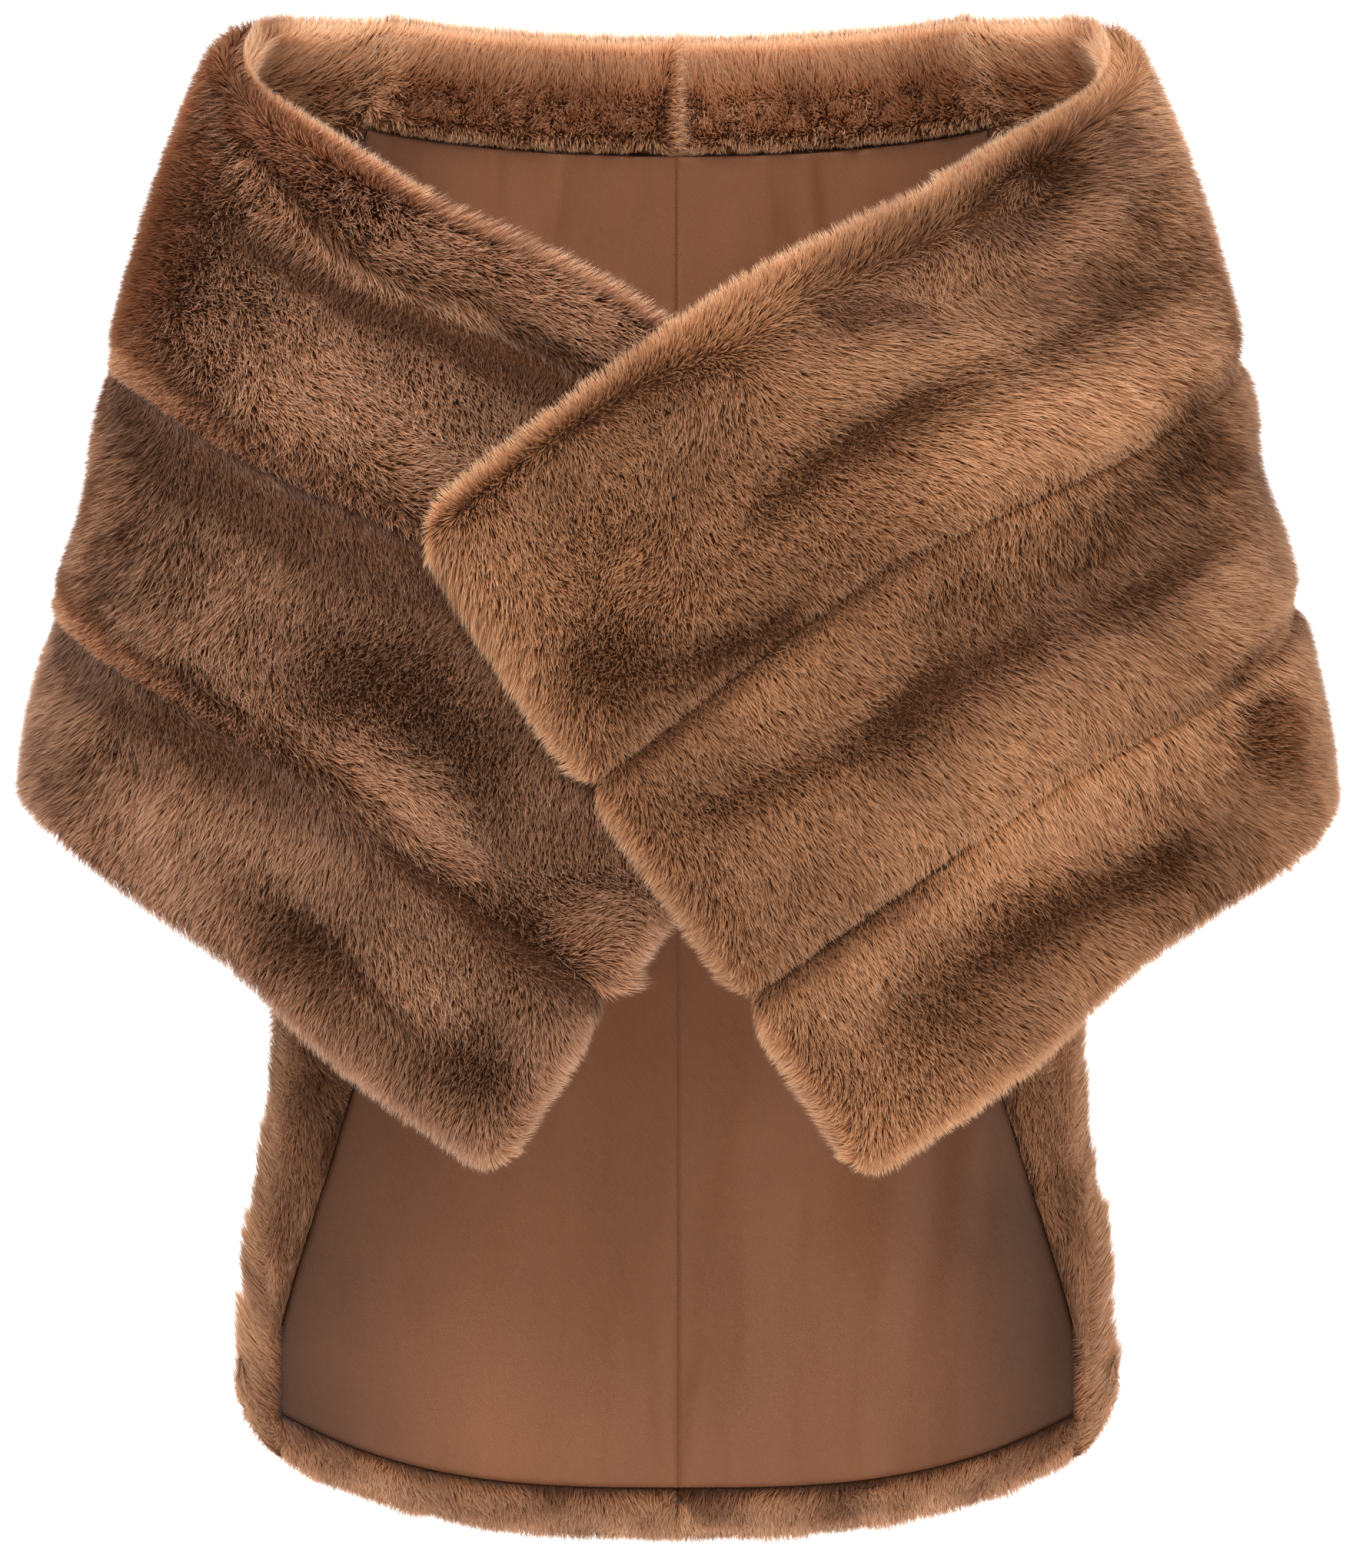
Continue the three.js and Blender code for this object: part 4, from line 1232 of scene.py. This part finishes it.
# Sheared and dyed beaver-type fur: dark at the root, warm brown along the shaft and pale at the tip.
# A dark hair and a light hair are given, and each hair's tone lies between them. The bands' pelts
# differ a little, the left band's being a little lighter as painted light, and the facings' fur is
# paler: painted light where the facings lie in shade.
FUR_SHADES = {
    "left": (
        ((0.0, "#1d0f08"), (0.5, "#57301a"), (0.8, "#7a482a"), (1.0, "#905d3c")),
        ((0.0, "#5a341b"), (0.5, "#c2804f"), (0.8, "#e7ae7e"), (1.0, "#f7d2af")),
    ),
    "right": (
        ((0.0, "#190d07"), (0.5, "#4f2c1a"), (0.8, "#6f442b"), (1.0, "#85583c")),
        ((0.0, "#5d3a25"), (0.5, "#c08157"), (0.8, "#e5b18a"), (1.0, "#f6d5b8")),
    ),
    "back": (
        ((0.0, "#1c0f08"), (0.5, "#56311d"), (0.8, "#784a2e"), (1.0, "#8f5f42")),
        ((0.0, "#452715"), (0.5, "#bc7b4e"), (0.8, "#e4ad82"), (1.0, "#f5d1b0")),
    ),
    "facing": (
        ((0.0, "#50301c"), (0.5, "#a3663f"), (0.8, "#be8056"), (1.0, "#cf9468")),
        ((0.0, "#9a6238"), (0.5, "#f6b580"), (0.8, "#ffd6ac"), (1.0, "#ffead2")),
    ),
}


def fur_hair(part):
    """Sheared fur: dull along the shaft, with a faint sheen where hairs catch the light."""
    material, tree = new_material(f"sheared_fur_{part}")
    share = add_node(tree, "ShaderNodeAttribute", attribute_name="hair_share").outputs["Fac"]
    tone = add_node(tree, "ShaderNodeAttribute", attribute_name="hair_tone").outputs["Fac"]
    dye = bpy.context.scene.fur_wrap.fur_dye
    dark, light = (
        add_node(tree, "ShaderNodeValToRGB", {"Fac": share}, shades(stops, dye)).outputs["Color"]
        for stops in FUR_SHADES[part]
    )
    mix = add_node(
        tree, "ShaderNodeMix", {"Factor": tone}, data_type="RGBA", blend_type="MIX",
    )
    tree.links.new(dark, mix.inputs["A"])
    tree.links.new(light, mix.inputs["B"])
    finish_surface(tree, {
        "Base Color": mix.outputs["Result"],
        "Roughness": 0.52,
        "Specular IOR Level": 0.35,
        "Sheen Weight": 0.12,
        "Sheen Roughness": 0.4,
        "Sheen Tint": colour("#f2d3ba"),
    })
    return material


def fur_undercoat():
    """Dense undercoat: the dark wool at the hair's roots, felted in fine clumps."""
    material, tree = new_material("fur_undercoat")
    place = add_node(tree, "ShaderNodeTexCoord").outputs["Object"]
    # Clumps of about 2 mm.
    noise = add_node(tree, "ShaderNodeTexNoise", {"Vector": place, "Scale": 500.0, "Detail": 3.0})
    wool = shades(((0.3, "#2a170c"), (0.7, "#5c371f")), bpy.context.scene.fur_wrap.fur_dye)
    shade = add_node(tree, "ShaderNodeValToRGB", {"Fac": noise.outputs["Fac"]}, wool)
    bump = add_node(
        tree, "ShaderNodeBump",
        {"Height": noise.outputs["Fac"], "Strength": 0.6, "Distance": 0.0012},
    )
    finish_surface(tree, {
        "Base Color": shade.outputs["Color"],
        "Roughness": 0.9,
        "Specular IOR Level": 0.1,
        "Normal": bump.outputs["Normal"],
    })
    return material


def pelt_backing():
    """Plain woven backing on the hidden skin side of the pelts."""
    material, tree = new_material("cotton_backing")
    place = add_node(tree, "ShaderNodeTexCoord").outputs["Object"]
    # Threads 1 mm apart, drawn coarser than the real 0.4 mm so that they show.
    weave = add_node(
        tree, "ShaderNodeTexWave", {"Vector": place, "Scale": 314.0, "Distortion": 1.0},
    )
    threads = shades(((0.0, "#4a2f20"), (1.0, "#6e4834")))
    shade = add_node(tree, "ShaderNodeValToRGB", {"Fac": weave.outputs["Fac"]}, threads)
    bump = add_node(
        tree, "ShaderNodeBump",
        {"Height": weave.outputs["Fac"], "Strength": 0.4, "Distance": 0.0003},
    )
    finish_surface(tree, {
        "Base Color": shade.outputs["Color"],
        "Roughness": 0.8,
        "Normal": bump.outputs["Normal"],
    })
    return material


def lining_satin():
    """Polyester satin: smooth and softly glossy, with a fine weave that breaks up the gloss."""
    material, tree = new_material("brown_satin")
    place = add_node(tree, "ShaderNodeTexCoord").outputs["Object"]
    # Floats 0.9 mm apart, drawn coarser than the real 0.15 mm so that they show.
    turned_place = add_node(tree, "ShaderNodeMapping", {"Vector": place, "Rotation": (0, 0.6, 0)})
    weave = add_node(
        tree, "ShaderNodeTexWave",
        {
            "Vector": turned_place.outputs["Vector"], "Scale": 350.0,
            "Distortion": 2.0, "Detail": 2.0,
        },
    )
    # Faint blotches about 70 mm across.
    blotch = add_node(tree, "ShaderNodeTexNoise", {"Vector": place, "Scale": 14.0, "Detail": 3.0})
    uneven = add_node(
        tree, "ShaderNodeMapRange",
        {"Value": blotch.outputs["Fac"], "To Min": 0.38, "To Max": 0.68},
    )
    woven = add_node(
        tree, "ShaderNodeMath",
        {0: weave.outputs["Fac"], 1: 0.35, 2: uneven.outputs["Result"]}, operation="MULTIPLY_ADD",
    )
    # Painted shade: the satin turns darker towards its sides, from 0.09 m to 0.19 m from the centre
    # seam.
    x_place = add_node(tree, "ShaderNodeSeparateXYZ", {"Vector": place}).outputs["X"]
    from_seam = add_node(tree, "ShaderNodeMath", {0: x_place}, operation="ABSOLUTE")
    to_side = add_node(
        tree, "ShaderNodeMapRange",
        {"Value": from_seam.outputs["Value"], "From Min": 0.09, "From Max": 0.19, "To Max": 0.72},
    )
    satin_with_painted_shade = add_node(
        tree, "ShaderNodeMath",
        {0: woven.outputs["Value"], 1: to_side.outputs["Result"]}, operation="SUBTRACT",
    )
    satin = shades(
        ((0.0, "#452a19"), (0.45, "#774a30"), (1.0, "#98613f")),
        bpy.context.scene.fur_wrap.satin_dye,
    )
    shade = add_node(tree, "ShaderNodeValToRGB", {"Fac": satin_with_painted_shade.outputs["Value"]}, satin)
    # Soft drapes about 30 mm across and 150 mm long.
    drape_place = add_node(tree, "ShaderNodeMapping", {"Vector": place, "Scale": (1, 1, 0.2)})
    drape = add_node(
        tree, "ShaderNodeTexNoise",
        {"Vector": drape_place.outputs["Vector"], "Scale": 33.0, "Detail": 2.0, "Roughness": 0.35},
    )
    soft = add_node(
        tree, "ShaderNodeBump",
        {"Height": drape.outputs["Fac"], "Strength": 0.8, "Distance": 0.008},
    )
    bump = add_node(
        tree, "ShaderNodeBump",
        {
            "Height": weave.outputs["Fac"], "Strength": 0.5, "Distance": 0.0003,
            "Normal": soft.outputs["Normal"],
        },
    )
    finish_surface(tree, {
        "Base Color": shade.outputs["Color"],
        "Roughness": 0.48,
        "Specular IOR Level": 0.28,
        "Normal": bump.outputs["Normal"],
    })
    return material


def studio_paint(name, code, glow):
    """Matt studio paint, lit a little from behind where it is the backdrop."""
    material, tree = new_material(name)
    place = add_node(tree, "ShaderNodeTexCoord").outputs["Object"]
    noise = add_node(tree, "ShaderNodeTexNoise", {"Vector": place, "Scale": 1.2})
    paint = shades(((0.0, code), (1.0, "#ffffff")))
    shade = add_node(tree, "ShaderNodeValToRGB", {"Fac": noise.outputs["Fac"]}, paint)
    finish_surface(tree, {
        "Base Color": shade.outputs["Color"],
        "Roughness": 0.95,
        "Emission Color": (1.0, 1.0, 1.0, 1.0),
        "Emission Strength": glow,
    })
    return material


# Assembly

def known(name, maker):
    """A material by name, made if it isn't there yet."""
    return bpy.data.materials.get(name) or maker()


def place_pelt(pelt, hair, shown=None, edges=()):
    """Builds a pelt's sheet and hair, with that of its rolled edges."""
    settings = bpy.context.scene.fur_wrap
    undercoat = known("fur_undercoat", fur_undercoat)
    backing = known("cotton_backing", pelt_backing)
    fur = known(f"sheared_fur_{pelt.fur}", lambda: fur_hair(pelt.fur))
    sheet = pelt_sheet(pelt, settings.sheet_spacing / MM, (undercoat, backing))
    spacing, width = hair
    strands = [hair_mesh(pelt, spacing, width, settings.seed, fur, shown)]
    edge_spacing = settings.facing_hair_spacing / MM
    for edge in edges:
        strands.append(hair_mesh(edge, edge_spacing, width, settings.seed, fur))
    for piece in (sheet, *strands):
        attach(piece, "root")
    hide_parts(pelt.node)
    width, length, share = pelt.cut


def shown_on_right(turn, z):
    """Which places of the right band the left band doesn't lie over."""
    turn = -np.degrees(turn)
    end_z = (STATIONS[-1, NECK_Z], STATIONS[-1, HEM_Z])
    end_turn = (STATIONS[-1, NECK_TURN], STATIONS[-1, HEM_TURN])
    end = np.interp(-z, [-end_z[0], -end_z[1]], end_turn)
    neck = np.interp(turn, STATIONS[::-1, NECK_TURN], STATIONS[::-1, NECK_Z])
    hem = np.interp(turn, STATIONS[::-1, HEM_TURN], STATIONS[::-1, HEM_Z])
    return (turn < end + UNDER_TURN) | (z > neck - UNDER_EDGE) | (z < hem + UNDER_EDGE)


class WrapSettings(bpy.types.PropertyGroup):
    """Sizes and colours that a user of the wrap would change."""

    hair_spacing: FloatProperty(
        name="Hair spacing",
        description="Distance between blades of hair on the front bands",
        default=0.83 * MM, min=0.4 * MM, unit="LENGTH", precision=5,
    )
    back_hair_spacing: FloatProperty(
        name="Back hair spacing",
        description="Distance between blades of hair on the back panel",
        default=1.28 * MM, min=0.4 * MM, unit="LENGTH", precision=5,
    )
    facing_hair_spacing: FloatProperty(
        name="Facing hair spacing",
        description="Distance between blades of hair on the facings",
        default=0.74 * MM, min=0.4 * MM, unit="LENGTH", precision=5,
    )
    hair_width: FloatProperty(
        name="Hair width",
        description="Width of a blade of hair at its root",
        default=0.64 * MM, min=0.1 * MM, unit="LENGTH", precision=5,
    )
    sheet_spacing: FloatProperty(
        name="Sheet spacing",
        description="Distance between the grid lines of the pelts",
        default=8 * MM, min=4 * MM, unit="LENGTH", precision=4,
    )
    lining_spacing: FloatProperty(
        name="Lining spacing",
        description="Distance between the grid lines of the satin",
        default=3 * MM, min=2 * MM, unit="LENGTH", precision=4,
    )
    fur_dye: FloatVectorProperty(
        name="Fur dye",
        description="Colour that the fur's own shades are multiplied by",
        default=(1.0, 1.0, 1.0), size=3, subtype="COLOR", min=0, max=1,
    )
    satin_dye: FloatVectorProperty(
        name="Satin dye",
        description="Colour that the satin's own shades are multiplied by",
        default=(1.0, 1.0, 1.0), size=3, subtype="COLOR", min=0, max=1,
    )
    seed: IntProperty(name="Seed", description="Start of the random hair", default=7, min=0)


class WRAP_OT_front_bands(bpy.types.Operator):
    """Builds the three fur strips of each front band"""

    bl_idname = "wrap.front_bands"
    bl_label = "Front bands"

    def execute(self, context):
        settings = context.scene.fur_wrap
        hair = (settings.hair_spacing / MM, settings.hair_width / MM)
        for hand, side in HANDS:
            shown = shown_on_right if hand == "right" else None
            for strip in STRIPS:
                pelt = band_strip(hand, side, strip)
                place_pelt(pelt, hair, shown)
        return {"FINISHED"}


class WRAP_OT_back_panel(bpy.types.Operator):
    """Builds the two fur halves of the back panel and its tail"""

    bl_idname = "wrap.back_panel"
    bl_label = "Back panel"

    def execute(self, context):
        settings = context.scene.fur_wrap
        hair = (settings.back_hair_spacing / MM, 1.3 * settings.hair_width / MM)
        for hand, side in HANDS:
            edges = [tail_edge(hand, side, part) for part in ("side", "hem")]
            place_pelt(back_panel(hand, side), hair, edges=edges)
        return {"FINISHED"}


class WRAP_OT_facings(bpy.types.Operator):
    """Builds the fur facings of the neck, the tail's sides and its hem"""

    bl_idname = "wrap.facings"
    bl_label = "Facings"

    def execute(self, context):
        settings = context.scene.fur_wrap
        hair = (settings.facing_hair_spacing / MM, settings.hair_width / MM)
        for hand, side in HANDS:
            carriers = (
                (band_facing(hand, side), f"{hand}_neck_strip"),
                (back_facing(hand, side), f"back_{hand}"),
                (tail_facing(hand, side), f"back_{hand}"),
                (hem_facing(hand, side), f"back_{hand}"),
            )
            for pelt, carrier in carriers:
                place_pelt(pelt, hair)
        return {"FINISHED"}


class WRAP_OT_lining(bpy.types.Operator):
    """Builds the two satin halves of the lining, with their folds and gathers"""

    bl_idname = "wrap.lining"
    bl_label = "Lining"

    def execute(self, context):
        spacing = context.scene.fur_wrap.lining_spacing / MM
        satin = known("brown_satin", lining_satin)
        for hand, side in HANDS:

            def faces(u, t, side=side):
                top = lining_meets(u, facing_foot) - PIECE_GAP
                z = top + (lining_meets(u, lining_hem) - top) * t
                x = lining_side(z) * u
                fold = down_folds(LINING_FOLDS + LINING_CREASES, side * x, z)
                high = skin_at(side, x, z) - LINING_GAP - fold
                turn, z = on_back(x, z)
                return (
                    standing_out(side, turn, z, high),
                    standing_out(side, turn, z, high - SATIN),
                )

            us = np.linspace(0, 1, round(LINING_HEM_HALF / spacing) + 1)
            ts = np.linspace(0, 1, round(-LINING_HEM / spacing) + 1)
            sheet = closed_sheet(f"lining_{hand}_satin", us, ts, faces, (satin, satin))
            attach(sheet, "root")
            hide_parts(f"lining_{hand}")
        return {"FINISHED"}


# Stage

CAMERA_PLACE = (-0.00035, -3.0, -0.319)
PIXEL_AT_FORM = 0.35 * MM
IMAGE_HEIGHT = 2040
SENSOR = 36.0
FLOOR = -1.42
WALL_RADIUS = 6.5
WALL_TOP = 5
WALL_STEPS = 64
WALL_GLOW = 0.6
FLOOR_PAST_WALL = 0.4
FLOOR_STEPS = 96
LIGHTS = (
    ("key", (-1.5, -2.3, 1.9), 1.5, 92.0),
    ("fill", (2.2, -2.6, 0.5), 2.2, 42.0),
    ("top", (0.2, 0.1, 2.3), 1.8, 40.0),
)
WORLD_LIGHT = 0.5


class WRAP_OT_stage(bpy.types.Operator):
    """Sets up the camera, the soft studio light, the floor and the backdrop"""

    bl_idname = "wrap.stage"
    bl_label = "Stage"

    def execute(self, context):
        scene = context.scene
        scene.view_settings.view_transform = "Standard"
        camera = bpy.data.cameras.new("camera")
        camera.sensor_width = SENSOR
        camera.lens = SENSOR * -CAMERA_PLACE[1] / (IMAGE_HEIGHT * PIXEL_AT_FORM)
        eye = add_object("camera", camera)
        eye.location = CAMERA_PLACE
        eye.rotation_euler = (math.radians(90), 0, 0)
        scene.camera = eye
        for name, place, size, power in LIGHTS:
            self.add_light(name, place, size, power)
        world = bpy.data.worlds.new("studio")
        world.use_nodes = True
        world.node_tree.nodes["Background"].inputs["Color"].default_value = (1, 1, 1, 1)
        world.node_tree.nodes["Background"].inputs["Strength"].default_value = WORLD_LIGHT
        scene.world = world
        self.floor()
        self.backdrop()
        return {"FINISHED"}

    def add_light(self, name, place, size, power):
        """A square soft box that faces the wrap."""
        light = bpy.data.lights.new(name, "AREA")
        light.shape = "SQUARE"
        light.size = size
        light.energy = power
        lamp = add_object(name, light)
        lamp.location = place
        aim = lamp.location.copy()
        aim.z -= CAMERA_PLACE[2]
        lamp.rotation_euler = aim.to_track_quat("Z", "Y").to_euler()

    def floor(self):
        bm = bmesh.new()
        radius = WALL_RADIUS + FLOOR_PAST_WALL
        bmesh.ops.create_circle(bm, cap_ends=True, radius=radius, segments=FLOOR_STEPS)
        for vertex in bm.verts:
            vertex.co.z = FLOOR
        mesh = bpy.data.meshes.new("floor")
        bm.to_mesh(mesh)
        bm.free()
        mesh.materials.append(studio_paint("floor_paint", "#f2f0ee", 0.0))
        return add_object("floor", mesh)

    def backdrop(self):
        """A wall that curves round behind the wrap."""
        bm = bmesh.new()
        foot = bm.verts.new((WALL_RADIUS, 0, FLOOR))
        top = bm.verts.new((WALL_RADIUS, 0, WALL_TOP))
        edge = bm.edges.new((foot, top))
        bmesh.ops.spin(
            bm, geom=[foot, top, edge], cent=(0, 0, 0), axis=(0, 0, 1),
            angle=math.pi, steps=WALL_STEPS, use_merge=False,
        )
        for face in bm.faces:
            face.smooth = True
            if face.normal.dot(face.calc_center_median()) > 0:
                face.normal_flip()
        mesh = bpy.data.meshes.new("backdrop")
        bm.to_mesh(mesh)
        bm.free()
        mesh.materials.append(studio_paint("backdrop_paint", "#fbfbfb", WALL_GLOW))
        return add_object("backdrop", mesh)


class WRAP_PT_panel(bpy.types.Panel):
    """Lists the wrap's steps and sizes"""

    bl_idname = "WRAP_PT_panel"
    bl_label = "Fur collar wrap"
    bl_space_type = "VIEW_3D"
    bl_region_type = "UI"
    bl_category = "Wrap"

    def draw(self, context):
        for operator in OPERATORS:
            self.layout.operator(operator.bl_idname)
        for name in WrapSettings.__annotations__:
            self.layout.prop(context.scene.fur_wrap, name)


OPERATORS = (
    WRAP_OT_stage,
    WRAP_OT_front_bands,
    WRAP_OT_back_panel,
    WRAP_OT_facings,
    WRAP_OT_lining,
)
CLASSES = (WrapSettings, *OPERATORS, WRAP_PT_panel)


def register():
    for item in CLASSES:
        bpy.utils.register_class(item)
    bpy.types.Scene.fur_wrap = PointerProperty(type=WrapSettings)


def unregister():
    del bpy.types.Scene.fur_wrap
    for item in reversed(CLASSES):
        bpy.utils.unregister_class(item)


def main():
    register()
    bpy.ops.wrap.stage()
    bpy.ops.wrap.front_bands()
    bpy.ops.wrap.back_panel()
    bpy.ops.wrap.facings()
    bpy.ops.wrap.lining()


if __name__ == "__main__":
    main()
